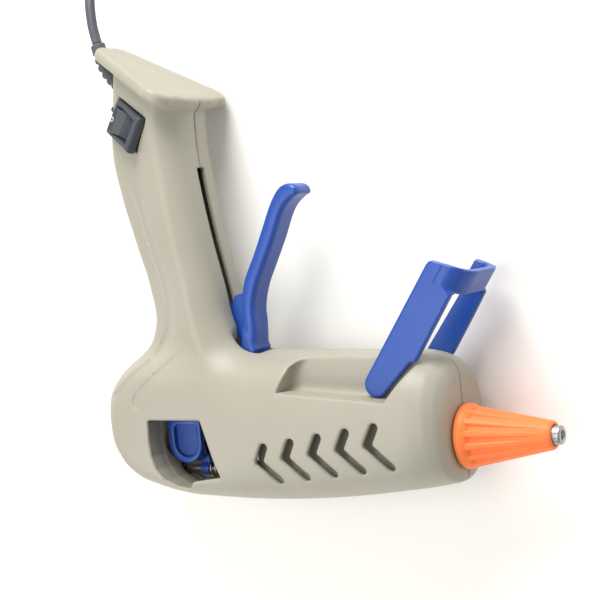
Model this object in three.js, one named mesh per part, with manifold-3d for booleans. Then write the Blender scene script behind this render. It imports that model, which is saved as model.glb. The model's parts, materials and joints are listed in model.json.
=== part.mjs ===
// Hot-melt glue gun lying on its right side, in millimetres.
// Gun frame: +X along the nozzle axis towards the tip, +Y towards the handle foot, +Z towards the left side,
// with Z = 0 on the parting plane and X, Y = 0 on the nozzle axis near the stick inlet.
// The exported group shifts that frame so that the gun rests on Z = 0, centred in X and Y.
import * as THREE from "three";
import { mergeVertices } from "three/addons/utils/BufferGeometryUtils.js";
import Module from "manifold-3d";

const wasm = await Module();
wasm.setup();

// ---------------------------------------------------------------- driving dimensions
const WALL = 2.2;
const GAP = 0.3;
const HALF_WIDTH = 24; // barrel and rest plane
const STICK_R = 5.6; // 11 mm glue stick
const NOSE_X = 149.8;
const TIP_X = 188;

// Barrel sections: [x, top y, bottom y, half width, superellipse exponent]
const BARREL = [
  [-4.6, 2, 17, 8, 2.4],
  [-3.2, -3.6, 22.5, 12.5, 2.6],
  [1, -9.6, 28, 17, 2.8],
  [8, -14.6, 32, 19.6, 3.2],
  [18, -17.8, 34.6, 20.8, 3.5],
  [30, -20.6, 35, 21.4, 3.4],
  [48, -22.2, 35, 22.4, 3],
  [62, -23, 35, 23.6, 2.6],
  [76, -23.2, 34.6, HALF_WIDTH, 2.4],
  [100, -22.2, 33.6, HALF_WIDTH, 2.4],
  [124, -19.9, 32.6, 23.8, 2.4],
  [141, -17.6, 31, 23, 2.4],
  [145.5, -16.9, 28.6, 20.8, 2.3],
  [148.6, -16.2, 25.4, 17.6, 2.2],
  [NOSE_X, -15, 22, 14.2, 2],
];
// Handle sections: [y, rear x, front x, half width at the ridge]
const HANDLE = [
  [18, -2, 62, 19.6],
  [28, 3, 62, 19.6],
  [38, 12.4, 58.5, 19.2],
  [48, 17, 55, 18.6],
  [62, 16, 52.3, 18],
  [80, 11.3, 48.6, 17.5],
  [100, 6.2, 45.4, 17],
  [118, 3.6, 43.6, 16.6],
  [134, 5.6, 44.2, 16.8],
  [150, 8, 48, 18],
  [168, 10, 52, 19],
];
const RIDGE_BACK = 10; // the handle's side ridge lies this far behind its front
const HANDLE_REAR_HALF = 5.5;
const HANDLE_FRONT_HALF = 11;

// Foot plate: its plane leans by FOOT_TILT from the nozzle axis
const FOOT_TILT = THREE.MathUtils.degToRad(31.5);
const FOOT_POINT = [22, 150.9]; // on the bottom face
const FOOT_THICK = 5.2;
const FOOT_REAR = -21;
const FOOT_CORNER = 27;
const FOOT_FRONT = 30.5;
const FOOT_HALF = HALF_WIDTH;

// Stand: a U of two legs and a web, hinged in pockets in the barrel's sides
const PIVOT = [122.5, 21.5];
const LEG_ANGLE = THREE.MathUtils.degToRad(54);
const LEG_IN = 11.5;
const LEG_OUT = 14.7;
const POCKET_IN = 11;

// Trigger and feed
const TRIGGER_PIVOT = [60, 27];
const FORK_PIN = [56, 6];
const CARRIAGE_PIN = [35.6, 12.6];
const ROD_Y = -12;

// Cord
const CORD_R = 2.1;
const COIL = { x: 20, y: 234, r: 25, half: 6.6, height: 12.6, lift: 1.4 };
const TABLE_Z = -HALF_WIDTH;

// ---------------------------------------------------------------- materials
const material = (color, roughness, metalness = 0) =>
  new THREE.MeshStandardMaterial({ color, roughness, metalness });
const CASE = material(0xb9b4a2, 0.5);
const BLUE = material(0x2f5fc4, 0.35);
const ORANGE = material(0xff8a45, 0.55);
const STEEL = material(0xb8babd, 0.3, 1);
const ALUMINIUM = material(0xc4c6c8, 0.45, 1);
const BLACK = material(0x2b2d31, 0.45);
const RUBBER = material(0x4a4d52, 0.65);
const BRASS = material(0xc8a24a, 0.35, 1);
const SILICONE = material(0xb5482f, 0.7);
const CERAMIC = material(0xe8e3d5, 0.8);
const WHITE = material(0xe9e7df, 0.5);

// ---------------------------------------------------------------- solids
function toSolid(geometry) {
  const bare = geometry.clone();
  bare.deleteAttribute("normal");
  bare.deleteAttribute("uv");
  const merged = mergeVertices(bare, 1e-3);
  return new wasm.Manifold(
    new wasm.Mesh({
      numProp: 3,
      vertProperties: new Float32Array(merged.attributes.position.array),
      triVerts: new Uint32Array(merged.index.array),
    }),
  );
}

function toGeometry(solid) {
  const mesh = solid.getMesh();
  const geometry = new THREE.BufferGeometry();
  geometry.setAttribute("position", new THREE.BufferAttribute(mesh.vertProperties, 3));
  geometry.setIndex(new THREE.BufferAttribute(mesh.triVerts, 1));
  geometry.computeVertexNormals();
  return geometry;
}

const join = (...solids) => solids.reduce((a, b) => a.add(b));
const cut = (solid, ...tools) => tools.reduce((a, b) => a.subtract(b), solid);

// A skin over rings of equally many points, closed at both ends by fans.
function loft(rings) {
  const count = rings[0].length;
  const centre = (ring) =>
    ring.reduce((sum, p) => sum.add(p), new THREE.Vector3()).divideScalar(count);
  const points = rings.flat().concat([centre(rings[0]), centre(rings.at(-1))]);
  const first = rings.length * count;
  const index = [];
  for (let i = 0; i < count; i++) {
    const j = (i + 1) % count;
    for (let k = 0; k + 1 < rings.length; k++) {
      const a = k * count;
      const b = a + count;
      index.push(a + i, a + j, b + j, a + i, b + j, b + i);
    }
    const last = (rings.length - 1) * count;
    index.push(first, j, i, first + 1, last + i, last + j);
  }
  const geometry = new THREE.BufferGeometry().setFromPoints(points);
  geometry.setIndex(index);
  const solid = toSolid(geometry);
  if (solid.volume() > 0) return solid;
  geometry.setIndex(index.reverse());
  return toSolid(geometry);
}

function box(low, high) {
  const size = high.map((v, i) => v - low[i]);
  const geometry = new THREE.BoxGeometry(...size);
  geometry.translate(...low.map((v, i) => v + size[i] / 2));
  return toSolid(geometry);
}

// A round bar between two points, r0 at the first and r1 at the second.
function bar(from, to, r0, r1 = r0, sides = 14) {
  const a = new THREE.Vector3(...from);
  const b = new THREE.Vector3(...to);
  const geometry = new THREE.CylinderGeometry(r1, r0, a.distanceTo(b), sides);
  const turn = new THREE.Quaternion().setFromUnitVectors(
    new THREE.Vector3(0, 1, 0),
    b.clone().sub(a).normalize(),
  );
  geometry.applyQuaternion(turn);
  geometry.translate(...a.add(b).multiplyScalar(0.5).toArray());
  return toSolid(geometry);
}

// An outline in XY pushed from z0 to z1.
function prism(outline, z0, z1) {
  const shape = outline instanceof THREE.Shape ? outline : new THREE.Shape(
    outline.map(([x, y]) => new THREE.Vector2(x, y)),
  );
  const geometry = new THREE.ExtrudeGeometry(shape, {
    depth: z1 - z0,
    bevelEnabled: false,
    curveSegments: 6,
  });
  geometry.translate(0, 0, z0);
  return toSolid(geometry);
}

// A turned body about the X axis; the profile is [x, radius] and closes on itself.
function turned(profile, sides = 22) {
  const points = profile.concat([profile[0]]).map(([x, r]) => new THREE.Vector2(r, x));
  const geometry = new THREE.LatheGeometry(points, sides);
  geometry.rotateZ(-Math.PI / 2);
  const solid = toSolid(geometry);
  if (solid.volume() > 0) return solid;
  return toSolid(new THREE.LatheGeometry(points.reverse(), sides).rotateZ(-Math.PI / 2));
}

const ring = (x0, x1, inner, outer) =>
  turned([[x0, inner], [x1, inner], [x1, outer], [x0, outer]], 20);

// A round tube along a smooth curve through the points.
function tube(points, radius, sides = 8, steps = 24) {
  const path = new THREE.CatmullRomCurve3(points.map((p) => new THREE.Vector3(...p)));
  const section = new THREE.Shape(
    Array.from({ length: sides }, (_, i) => {
      const a = (2 * Math.PI * i) / sides;
      return new THREE.Vector2(radius * Math.cos(a), radius * Math.sin(a));
    }),
  );
  return toSolid(new THREE.ExtrudeGeometry(section, { steps, extrudePath: path }));
}

// Corners [x, z, radius] of a closed outline, each rounded by an even arc of a few points.
function rounded(corners, steps = 2) {
  const out = [];
  corners.forEach(([x, z, r], i) => {
    const at = new THREE.Vector2(x, z);
    const side = (j) => {
      const [a, b] = corners[(j + corners.length) % corners.length];
      const d = new THREE.Vector2(a, b).sub(at);
      return at.clone().add(d.setLength(Math.min(r, d.length() * 0.48)));
    };
    const bend = new THREE.QuadraticBezierCurve(side(i - 1), at, side(i + 1));
    out.push(...bend.getPoints(steps));
  });
  return out;
}

// ---------------------------------------------------------------- outer forms, grown inwards by `inset`
const HALF_TURN = 10; // points over half a barrel section

function barrelForm(inset) {
  const rings = BARREL.map(([x, top, bottom, half, n], k) => {
    const middle = (top + bottom) / 2;
    const tall = (bottom - top) / 2 - inset;
    const wide = half - inset;
    let at = x;
    if (k === 0) at += inset;
    if (k === BARREL.length - 1) at -= inset + 1;
    if (inset && k === 1) at += 0.6 * inset;
    if (inset && k === BARREL.length - 2) at -= 0.8 * inset;
    return Array.from({ length: 2 * HALF_TURN }, (_, i) => {
      const a = (Math.PI * i) / HALF_TURN;
      const c = Math.cos(a);
      const s = Math.sin(a);
      return new THREE.Vector3(
        at,
        middle + tall * Math.sign(c) * Math.abs(c) ** (2 / n),
        wide * Math.sign(s) * Math.abs(s) ** (2 / n),
      );
    });
  });
  return loft(rings);
}

function handleForm(inset) {
  const rings = HANDLE.map(([y, rear, front, half]) => {
    const xr = rear + inset;
    const xf = front - inset;
    const ridge = front - RIDGE_BACK;
    const corners = [
      [xr, HANDLE_REAR_HALF - inset / 2, 5],
      [ridge, half - inset, 8],
      [xf, HANDLE_FRONT_HALF - inset / 2, 9],
    ];
    const mirrored = corners.map(([x, z, r]) => [x, -z, r]).reverse();
    return rounded([...corners, ...mirrored]).map((p) => new THREE.Vector3(p.x, y, p.y));
  });
  return loft(rings);
}

// The plate's own axes: u along it to the front, n out of its bottom face.
const footU = new THREE.Vector3(Math.cos(FOOT_TILT), -Math.sin(FOOT_TILT), 0);
const footN = new THREE.Vector3(Math.sin(FOOT_TILT), Math.cos(FOOT_TILT), 0);
function onFoot(u, z, depth) {
  return new THREE.Vector3(FOOT_POINT[0], FOOT_POINT[1], z)
    .addScaledVector(footU, u)
    .addScaledVector(footN, -depth);
}

function footOutline(inset) {
  const corners = [
    [FOOT_REAR + inset, 9 - inset, 7],
    [FOOT_CORNER - 6, FOOT_HALF - inset, 10],
    [FOOT_CORNER, FOOT_HALF - inset, 7],
    [FOOT_FRONT - inset, 8, 9],
  ];
  const mirrored = corners.map(([u, z, r]) => [u, -z, r]).reverse();
  return rounded([...corners, ...mirrored]);
}

function footForm() {
  const layers = [
    [1.6, 0],
    [0.4, 0.5],
    [0, 1.8],
    [0, FOOT_THICK - 1.6],
    [1.2, FOOT_THICK],
  ];
  return loft(layers.map(([inset, depth]) =>
    footOutline(inset).map((p) => onFoot(p.x, p.y, depth))));
}

// Everything beyond the plane that lies `depth` inside the foot's bottom face.
function beyondFoot(depth) {
  const square = [[-90, -60], [90, -60], [90, 60], [-90, 60]];
  return loft([0, -60].map((extra) =>
    square.map(([u, z]) => onFoot(u, z, depth + extra))));
}

// ---------------------------------------------------------------- casing
const WINDOW = [[19.5, 10.3], [19.2, -5], [21.5, -10.5], [28.5, -14.6], [53, -12], [46.6, 10.3]];
const POCKET = [[83.4, 20.4], [129.5, 15.8], [150, 42], [101.4, 42], [101.4, 37.4], [93.6, 34.6], [86.6, 29.2]];
const SWITCH_AT = [18.3, 127.6, 10.8];
const LENS_AT = [-14, 1.5];
const SWITCH_LEAN = THREE.MathUtils.degToRad(25);
const SCREWS = [[5.5, 21], [32, 60], [24, 98], [74, -17], [137.5, -13], [140.5, 20.5]];
const SCREW_HEAD_Z = -13;
const CHEVRON = { first: [76.5, 0], step: [12.1, 1.75], grow: 0.04, width: 2.3, count: 5 };

// Places a shape made about its own origin (u across, v along the handle, w outwards) on the switch facet.
const switchFrame = new THREE.Matrix4().makeBasis(
  footU.clone().multiplyScalar(Math.cos(SWITCH_LEAN))
    .add(new THREE.Vector3(0, 0, Math.sin(SWITCH_LEAN))),
  footN,
  footU.clone().multiplyScalar(-Math.sin(SWITCH_LEAN))
    .add(new THREE.Vector3(0, 0, Math.cos(SWITCH_LEAN))),
).setPosition(...SWITCH_AT);

function onSwitch(geometry) {
  return toSolid(geometry.applyMatrix4(switchFrame));
}

function switchBlock(width, length, w0, w1) {
  return onSwitch(new THREE.BoxGeometry(width, length, w1 - w0).translate(0, 0, (w0 + w1) / 2));
}

function strokeOutline(points, width) {
  const left = [];
  const right = [];
  points.forEach(([x, y], i) => {
    const before = points[Math.max(i - 1, 0)];
    const after = points[Math.min(i + 1, points.length - 1)];
    const d = new THREE.Vector2(after[0] - before[0], after[1] - before[1]).normalize();
    left.push([x - (d.y * width) / 2, y + (d.x * width) / 2]);
    right.unshift([x + (d.y * width) / 2, y - (d.x * width) / 2]);
  });
  return [...left, ...right];
}

function ventCutters() {
  return Array.from({ length: CHEVRON.count }, (_, i) => {
    const x = CHEVRON.first[0] + i * CHEVRON.step[0];
    const y = CHEVRON.first[1] + i * CHEVRON.step[1];
    const k = 1 + CHEVRON.grow * i;
    const path = [[x, y], [x - 3 * k, y - 5.6 * k], [x + 3.9 * k, y - 12.6 * k]];
    return prism(strokeOutline(path, CHEVRON.width), -30, 30);
  });
}

function casing() {
  const outer = join(
    barrelForm(0),
    cut(handleForm(0), beyondFoot(1)),
    footForm(),
  );
  const pocketTool = (grow) => {
    const outline = new wasm.CrossSection([POCKET]).offset(grow, "Miter");
    const block = outline.extrude(30).translate([0, 0, POCKET_IN - grow]);
    return join(block, block.mirror([0, 0, 1]));
  };
  const cavity = join(
    cut(barrelForm(WALL), pocketTool(WALL)),
    cut(handleForm(WALL), beyondFoot(FOOT_THICK - 0.6), pocketTool(WALL)),
  );
  const slot = prism([[35, 108], [35, 34], [62, 30], [60, 60], [52, 108]], -2.3, 2.3);
  const triggerMouth = prism([[56, 29], [68, 29], [68.6, 36.5], [72.6, 43], [60, 48], [56, 48]], -6.8, 6.8);
  const windows = join(prism(WINDOW, 12, 40), prism(WINDOW, -40, -12));
  const noseHole = bar([140, 0, 0], [160, 0, 0], 9, 9, 20);
  const inletHole = bar([-20, 0, 0], [2, 0, 0], 7.4, 7.4, 20);
  const gland = join(
    bar([17, 137.6, 0], [3.4, 151.4, 0], 4.5),
    bar([4.2, 150.4, 0], [-1.4, 165, 0], 4.4),
  );
  const lens = onSwitch(new THREE.CylinderGeometry(1.6, 1.6, 12, 12)
    .rotateX(Math.PI / 2).translate(...LENS_AT, 0));
  const pivots = bar([...PIVOT, -40], [...PIVOT, 40], 2.2, 2.2, 16);
  const shell = cut(outer, cavity, pocketTool(0), slot, triggerMouth, windows, noseHole,
    inletHole, gland, lens, pivots,
    switchBlock(19.6, 13.6, -20, 6), switchBlock(21.8, 15.8, 0.7, 8), ...ventCutters());
  return { outer, shell };
}

const { outer: outerForm, shell: emptyShell } = casing();

// Posts for the screws and pins, kept inside the outer form.
function withPosts(shell, side) {
  const z = (v) => side * v;
  const half = HALF_WIDTH + 1;
  const inside = (solid) => solid.intersect(outerForm);
  const posts = SCREWS.map(([x, y]) => inside(bar([x, y, z(0.15)], [x, y, z(half)], 3.6)));
  posts.push(inside(cut(
    bar([...TRIGGER_PIVOT, z(10.3)], [...TRIGGER_PIVOT, z(half)], 3.4),
    bar([...TRIGGER_PIVOT, z(0)], [...TRIGGER_PIVOT, z(14.2)], 1.85, 1.85, 16),
  )));
  // ribs that hold the guide rod's ends, the stick guide and the heating chamber
  for (const x of [15, 66]) {
    posts.push(inside(cut(
      box([x, -30, Math.min(z(0.15), z(20))], [x + 2.4, ROD_Y + 3.4, Math.max(z(0.15), z(20))]),
      bar([x - 4, ROD_Y, 0], [x + 8, ROD_Y, 0], 1.8, 1.8, 16),
    )));
  }
  for (const [x, hold] of [[7, 7.4], [88, 10.4], [129, 10.4]]) {
    const bottom = x > 80 ? 14 : 20;
    posts.push(inside(cut(
      box([x, -24, Math.min(z(0.15), z(24))], [x + 2, bottom, Math.max(z(0.15), z(24))]),
      bar([x - 4, 0, 0], [x + 8, 0, 0], hold, hold, 20),
      box([x - 1, 3, -hold], [x + 3, 40, hold]),
    )));
  }
  return posts.reduce((a, b) => a.add(b), shell);
}

const leftHalf = box([-60, -80, 0.15], [220, 220, 60]);
const rightHalf = box([-60, -80, -60], [220, 220, -0.15]);

function leftShell() {
  const shell = withPosts(emptyShell.intersect(leftHalf), 1);
  const holes = SCREWS.map(([x, y]) => bar([x, y, -1], [x, y, 10.8], 1.6, 1.6, 10));
  return cut(shell, ...holes);
}

function rightShell() {
  const shell = withPosts(emptyShell.intersect(rightHalf), -1);
  const holes = SCREWS.flatMap(([x, y]) => [
    bar([x, y, 1], [x, y, -30], 1.8, 1.8, 10),
    bar([x, y, SCREW_HEAD_Z], [x, y, -40], 3.2),
  ]);
  return cut(shell, ...holes);
}

// ---------------------------------------------------------------- trigger and feed
function triggerSolid() {
  const blade = [[64.8, 34], [66, 44], [66.2, 52], [68.6, 60], [73.6, 69.2], [78.2, 77.6],
    [83.6, 88.2], [91, 94.4], [89.8, 97], [85.6, 98], [79.6, 93.4], [73.4, 82], [68.6, 72.6],
    [62.8, 62.6], [60.6, 54], [60.2, 44], [60.2, 34]];
  const lever = [[56.8, 26], [63.2, 26], [65.6, 36], [60.4, 44], [58.4, 35]];
  const web = [[61, 56], [53.6, 55], [51, 45], [56.6, 37], [61, 37]];
  const bladeSolid = prism(blade, -6, 6);
  const eyes = [1, -1].map((s) => {
    const [z0, z1] = s > 0 ? [6.6, 8.6] : [-8.6, -6.6];
    return join(
      prism([[52.9, 6], [59.1, 6], [63, 24], [61, 30], [57.4, 29]], z0, z1),
      bar([...FORK_PIN, z0], [...FORK_PIN, z1], 3.1),
    );
  });
  const hub = bar([...TRIGGER_PIVOT, -9.8], [...TRIGGER_PIVOT, 9.8], 3.3);
  const body = join(bladeSolid, prism(lever, -6, 6), prism(web, -1.7, 1.7), hub, ...eyes);
  return cut(
    body,
    bar([...TRIGGER_PIVOT, -12], [...TRIGGER_PIVOT, 12], 1.9, 1.9, 16),
    bar([...FORK_PIN, -12], [...FORK_PIN, 12], 1.7, 1.7, 16),
  );
}

function linkSolid() {
  const run = [FORK_PIN[0] - CARRIAGE_PIN[0], FORK_PIN[1] - CARRIAGE_PIN[1]];
  const long = Math.hypot(...run);
  const off = [(-run[1] / long) * 2.4, (run[0] / long) * 2.4];
  const outline = [
    [CARRIAGE_PIN[0] + off[0], CARRIAGE_PIN[1] + off[1]], [CARRIAGE_PIN[0] - off[0], CARRIAGE_PIN[1] - off[1]],
    [FORK_PIN[0] - off[0], FORK_PIN[1] - off[1]], [FORK_PIN[0] + off[0], FORK_PIN[1] + off[1]],
  ];
  const bars = [[9.1, 10.6], [-10.6, -9.1]].map(([z0, z1]) => join(
    prism(outline, z0, z1),
    bar([...CARRIAGE_PIN, z0], [...CARRIAGE_PIN, z1], 2.9),
    bar([...FORK_PIN, z0], [...FORK_PIN, z1], 2.9),
  ));
  return cut(
    join(...bars, box([43.5, 8.4, -10.6], [46.5, 10, 10.6])),
    bar([...CARRIAGE_PIN, -12], [...CARRIAGE_PIN, 12], 2.1, 2.1, 16),
    bar([...FORK_PIN, -12], [...FORK_PIN, 12], 1.7, 1.7, 16),
  );
}

const JAW_PIVOT = [29.4, 13.6];

function carriageSolid() {
  const outline = new THREE.Shape();
  outline.moveTo(21.4, 12);
  outline.lineTo(21.4, -0.5);
  outline.absarc(29.4, -0.5, 8, Math.PI, 2 * Math.PI, false);
  outline.lineTo(37.4, 12);
  const body = join(
    prism(outline, -8.4, 8.4),
    box([25.4, ROD_Y - 3, -3.2], [35.4, -6, 3.2]),
    bar([...CARRIAGE_PIN, -8.4], [...CARRIAGE_PIN, -6], 3.2, 3.2, 20),
    bar([...CARRIAGE_PIN, 6], [...CARRIAGE_PIN, 8.4], 3.2, 3.2, 20),
    ...[1, -1].map((s) => cut(
      prism([[25.4, 11], [33.4, 11], [32.2, 16.8], [26.6, 16.8]], ...(s > 0 ? [3.2, 5.4] : [-5.4, -3.2])),
      bar([...JAW_PIVOT, -8], [...JAW_PIVOT, 8], 1.3, 1.3, 12),
    )),
  );
  const pocket = new THREE.Shape();
  pocket.moveTo(24, 8.6);
  pocket.lineTo(24, -0.6);
  pocket.absarc(29.5, -0.6, 5.5, Math.PI, 2 * Math.PI, false);
  pocket.lineTo(35, 8.6);
  return cut(
    body,
    bar([10, 0, 0], [50, 0, 0], STICK_R + 0.4, STICK_R + 0.4, 24),
    bar([10, ROD_Y, 0], [50, ROD_Y, 0], 1.9, 1.9, 16),
    box([25, 3, -3.5], [33.6, 20, 3.5]),
    bar([...CARRIAGE_PIN, -12], [...CARRIAGE_PIN, -6.9], 1.8, 1.8, 16),
    bar([...CARRIAGE_PIN, 12], [...CARRIAGE_PIN, 6.9], 1.8, 1.8, 16),
    prism(pocket, 6.6, 10),
    prism(pocket, -10, -6.6),
  );
}

function jawSolid() {
  const outline = [[26.2, 15.4], [27, 9.4], [28.2, 6.5], [29.4, 7.7], [30.6, 6.5], [31.8, 9.4], [32.6, 15.4]];
  return cut(
    join(prism(outline, -3, 3), bar([...JAW_PIVOT, -3], [...JAW_PIVOT, 3], 3)),
    bar([...JAW_PIVOT, -5], [...JAW_PIVOT, 5], 1.3, 1.3, 12),
  );
}

// Compression spring: a round wire wound about a line along X.
function springX(x0, x1, y, radius, wire, turns, sides = 4) {
  const steps = turns * 8;
  const points = Array.from({ length: steps + 1 }, (_, i) => {
    const a = (2 * Math.PI * turns * i) / steps;
    return new THREE.Vector3(
      x0 + wire + ((x1 - x0 - 2 * wire) * i) / steps,
      y + radius * Math.cos(a),
      radius * Math.sin(a),
    );
  });
  const section = Array.from({ length: sides }, (_, i) => (2 * Math.PI * i) / sides);
  const rings = points.map((p, i) => {
    const a = (2 * Math.PI * turns * i) / steps;
    const out = new THREE.Vector3(0, Math.cos(a), Math.sin(a));
    const along = new THREE.Vector3(1, 0, 0);
    return section.map((t) => p.clone()
      .addScaledVector(out, wire * Math.cos(t))
      .addScaledVector(along, wire * Math.sin(t)));
  });
  return loft(rings);
}

// ---------------------------------------------------------------- stand
const legAlong = new THREE.Vector3(Math.cos(LEG_ANGLE), Math.sin(LEG_ANGLE), 0);
const legAcross = new THREE.Vector3(Math.sin(LEG_ANGLE), -Math.cos(LEG_ANGLE), 0);
const onLeg = (along, across) => new THREE.Vector3(...PIVOT, 0)
  .addScaledVector(legAlong, along).addScaledVector(legAcross, across).toArray().slice(0, 2);

function standSolid() {
  const arc = Array.from({ length: 9 }, (_, i) => {
    const a = Math.PI * (0.5 + i / 8);
    return onLeg(4.7 * Math.cos(a), -4.7 * Math.sin(a) * -1);
  });
  const leg = [...arc, onLeg(51.2, -5), onLeg(55.3, 10.2), onLeg(20, 10.2), onLeg(16.6, 9.6), onLeg(15.6, 8)];
  const web = [onLeg(45.4, 8), onLeg(45.4, 11), onLeg(55.5, 11), onLeg(54.7, 8)];
  const legs = [prism(leg, LEG_IN, LEG_OUT), prism(leg, -LEG_OUT, -LEG_IN)];
  return cut(
    join(...legs, prism(web, -LEG_IN - 0.5, LEG_IN + 0.5)),
    bar([...PIVOT, -14], [...PIVOT, 14], 2.2, 2.2, 16),
  );
}

// A pin moulded for the blind hole in the leg
function pivotPin(side) {
  return join(
    bar([...PIVOT, side * 9.4], [...PIVOT, side * 13.4], 1.8, 1.8, 16),
    bar([...PIVOT, side * 13.4], [...PIVOT, side * 13.8], 1.8, 1.4, 16),
  );
}

// ---------------------------------------------------------------- heating and nozzle
const FLUTES = 14;
function coverSolid() {
  const stations = [
    [150.1, 11.4, 0], [151, 12, 0], [153.6, 11.9, 0], [154.4, 10.9, 0.55],
    [168, 8.5, 0.4], [181, 6.1, 0.12], [185, 5.2, 0],
  ];
  const count = FLUTES * 2;
  const outer = loft(stations.map(([x, r, deep]) =>
    Array.from({ length: count }, (_, i) => {
      const a = (2 * Math.PI * i) / count;
      const rr = r - (i % 2) * 2 * deep;
      return new THREE.Vector3(x, rr * Math.cos(a), rr * Math.sin(a));
    })));
  const bore = turned([[149, 0], [149, 8.6], [158, 8.6], [180, 4.7], [180, 3.9], [187, 3.9], [187, 0]]);
  return cut(outer, bore);
}

function nozzleSolid() {
  const body = turned([
    [139.8, 0], [139.8, 6.4], [147, 6.4], [147, 8], [157, 8], [179, 4.2],
    [179, 3.5], [TIP_X - 0.4, 3.5], [TIP_X, 3.1], [TIP_X, 0],
  ]);
  return cut(
    body,
    turned([[139, 0], [139, 4.8], [156, 4.8], [158.5, 2.9], [168, 2.9], [170, 1.5], [190, 1.5], [190, 0]]),
  );
}

function chamberSolid() {
  const body = join(
    turned([[80, 0], [80, 8.4], [139.4, 8.4], [139.4, 0]]),
    box([92, 4, -8.6], [126, 13.6, 8.6]),
  );
  return cut(
    body,
    turned([[79, 0], [79, STICK_R + 0.5], [118, STICK_R + 0.2], [132, 4.6], [141, 4.6], [141, 0]]),
    box([90, 8.9, -7.9], [128, 11.9, 7.9]),
    turned([[138, 0], [138, 7], [141, 7], [141, 0]]),
  );
}

function clipSolid() {
  const [x0, x1] = [97, 113];
  return cut(
    box([x0, -9.8, -9.8], [x1, 14.8, 9.8]),
    box([x0 - 1, -9, -9], [x1 + 1, 14, 9]),
    box([x0 - 1, -20, -4], [x1 + 1, -5, 4]),
  );
}

// ---------------------------------------------------------------- switch, cord and fasteners
function switchBodySolid() {
  return cut(
    join(switchBlock(21.2, 15.2, 1, 2.9), switchBlock(19, 13, -11, 1.5)),
    switchBlock(17.8, 11, -4.4, 4),
  );
}

function rockerSolid() {
  const outline = new THREE.Shape();
  outline.moveTo(-7.6, -1.2);
  outline.lineTo(-3.4, -3.4);
  outline.lineTo(3.4, -3.4);
  outline.lineTo(7.8, -2.6);
  outline.lineTo(7.8, 1.7);
  outline.quadraticCurveTo(4, 1.6, 0, 2.2);
  outline.lineTo(-6.9, 4.9);
  outline.lineTo(-7.6, 4.3);
  const geometry = new THREE.ExtrudeGeometry(outline, { depth: 10.2, bevelEnabled: false, curveSegments: 5 });
  geometry.translate(0, 0, -5.1).rotateX(Math.PI / 2);
  return onSwitch(geometry);
}

function terminals() {
  return [-4.5, 4.5].map((u, i) => ({
    name: `switch_terminal_${i + 1}`,
    solid: onSwitch(new THREE.BoxGeometry(0.8, 4.8, 6).translate(u, 0, -14.3)),
  }));
}

const RELIEF = [[15, 139.6, 0], [9.6, 145, 0], [4.6, 150.2, 0], [1.2, 156, 0], [-0.9, 163, 0]];
const RELIEF_RIBS = { first: 3, last: 18, every: 2, depth: 0.5 };
function reliefSolid() {
  const path = new THREE.CatmullRomCurve3(RELIEF.map((p) => new THREE.Vector3(...p)));
  const steps = 20;
  const frames = path.computeFrenetFrames(steps);
  return loft(Array.from({ length: steps + 1 }, (_, i) => {
    const t = i / steps;
    const inRib = i > RELIEF_RIBS.first && i < RELIEF_RIBS.last && i % RELIEF_RIBS.every === 0;
    const r = 4.1 - 1.1 * t - (inRib ? RELIEF_RIBS.depth : 0);
    const p = path.getPointAt(t);
    return Array.from({ length: 10 }, (_, j) => {
      const a = (2 * Math.PI * j) / 10;
      return p.clone()
        .addScaledVector(frames.normals[i], r * Math.cos(a))
        .addScaledVector(frames.binormals[i], r * Math.sin(a));
    });
  }));
}

// Cord centre lines: from the strain relief to the coil, and round the coil to the plug.
const CORD_REST = TABLE_Z + CORD_R;
const CORD_OUT = [
  [-1.1, 163.8, 0], [-2.7, 171, -0.2], [-4.2, 180, -1.8], [-6, 190, -5.6], [-8, 200, -10.9],
  [-10.2, 210, -16.2], [-12.2, 220, -20], [-13.9, 229, -21.6], [-14.4, 236, CORD_REST],
  [-14, 244, CORD_REST],
];
const TAIL = { r: 34.4, from: 135, to: 80 }; // degrees round the coil
function cordTail() {
  const points = Array.from({ length: 6 }, (_, i) => {
    const a = THREE.MathUtils.degToRad(TAIL.from + ((TAIL.to - TAIL.from) * i) / 5);
    return [COIL.x + TAIL.r * Math.cos(a), COIL.y + TAIL.r * Math.sin(a), CORD_REST];
  });
  const end = PLUG_X - PLUG_LONG - 0.8;
  const high = TABLE_Z + PLUG_THICK / 2;
  return tube([...points, [end - 14, PLUG_Y - 3.4, CORD_REST + 0.8], [end - 6.5, PLUG_Y - 1, high - 1.4],
    [end, PLUG_Y, high]], CORD_R, 8, 14);
}

function coilSolid() {
  const { x, y, r, half, height, lift } = COIL;
  const profile = [
    [r - half, 2], [r - half + 2, 0], [r + half - 2, 0], [r + half, 2],
    [r + half, height - 2], [r + half - 2, height], [r - half + 2, height], [r - half, height - 2],
    [r - half, 2],
  ].map(([a, b]) => new THREE.Vector2(a, b));
  const make = (points) => toSolid(new THREE.LatheGeometry(points, 28)
    .rotateX(Math.PI / 2).translate(x, y, TABLE_Z + lift));
  const solid = make(profile);
  return solid.volume() > 0 ? solid : make(profile.reverse());
}

// A flat band round the coil's section, on the side away from the plug.
function tieSolid() {
  const { x, y, r, half, height, lift } = COIL;
  const loop = (grow) => {
    const low = TABLE_Z + lift - GAP - grow;
    return [[r - half - 3 * GAP - grow, low], [r + half + GAP + grow, low],
      [r + half + GAP + grow, TABLE_Z + lift + height + GAP + grow],
      [r - half - 3 * GAP - grow, TABLE_Z + lift + height + GAP + grow]];
  };
  const block = (grow, wide) => {
    const [[a, low], [b], [, high]] = loop(grow);
    return box([x - wide, y - b, low], [x + wide, y - a, high]);
  };
  return cut(block(1, 3.5), block(0, 5));
}

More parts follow.
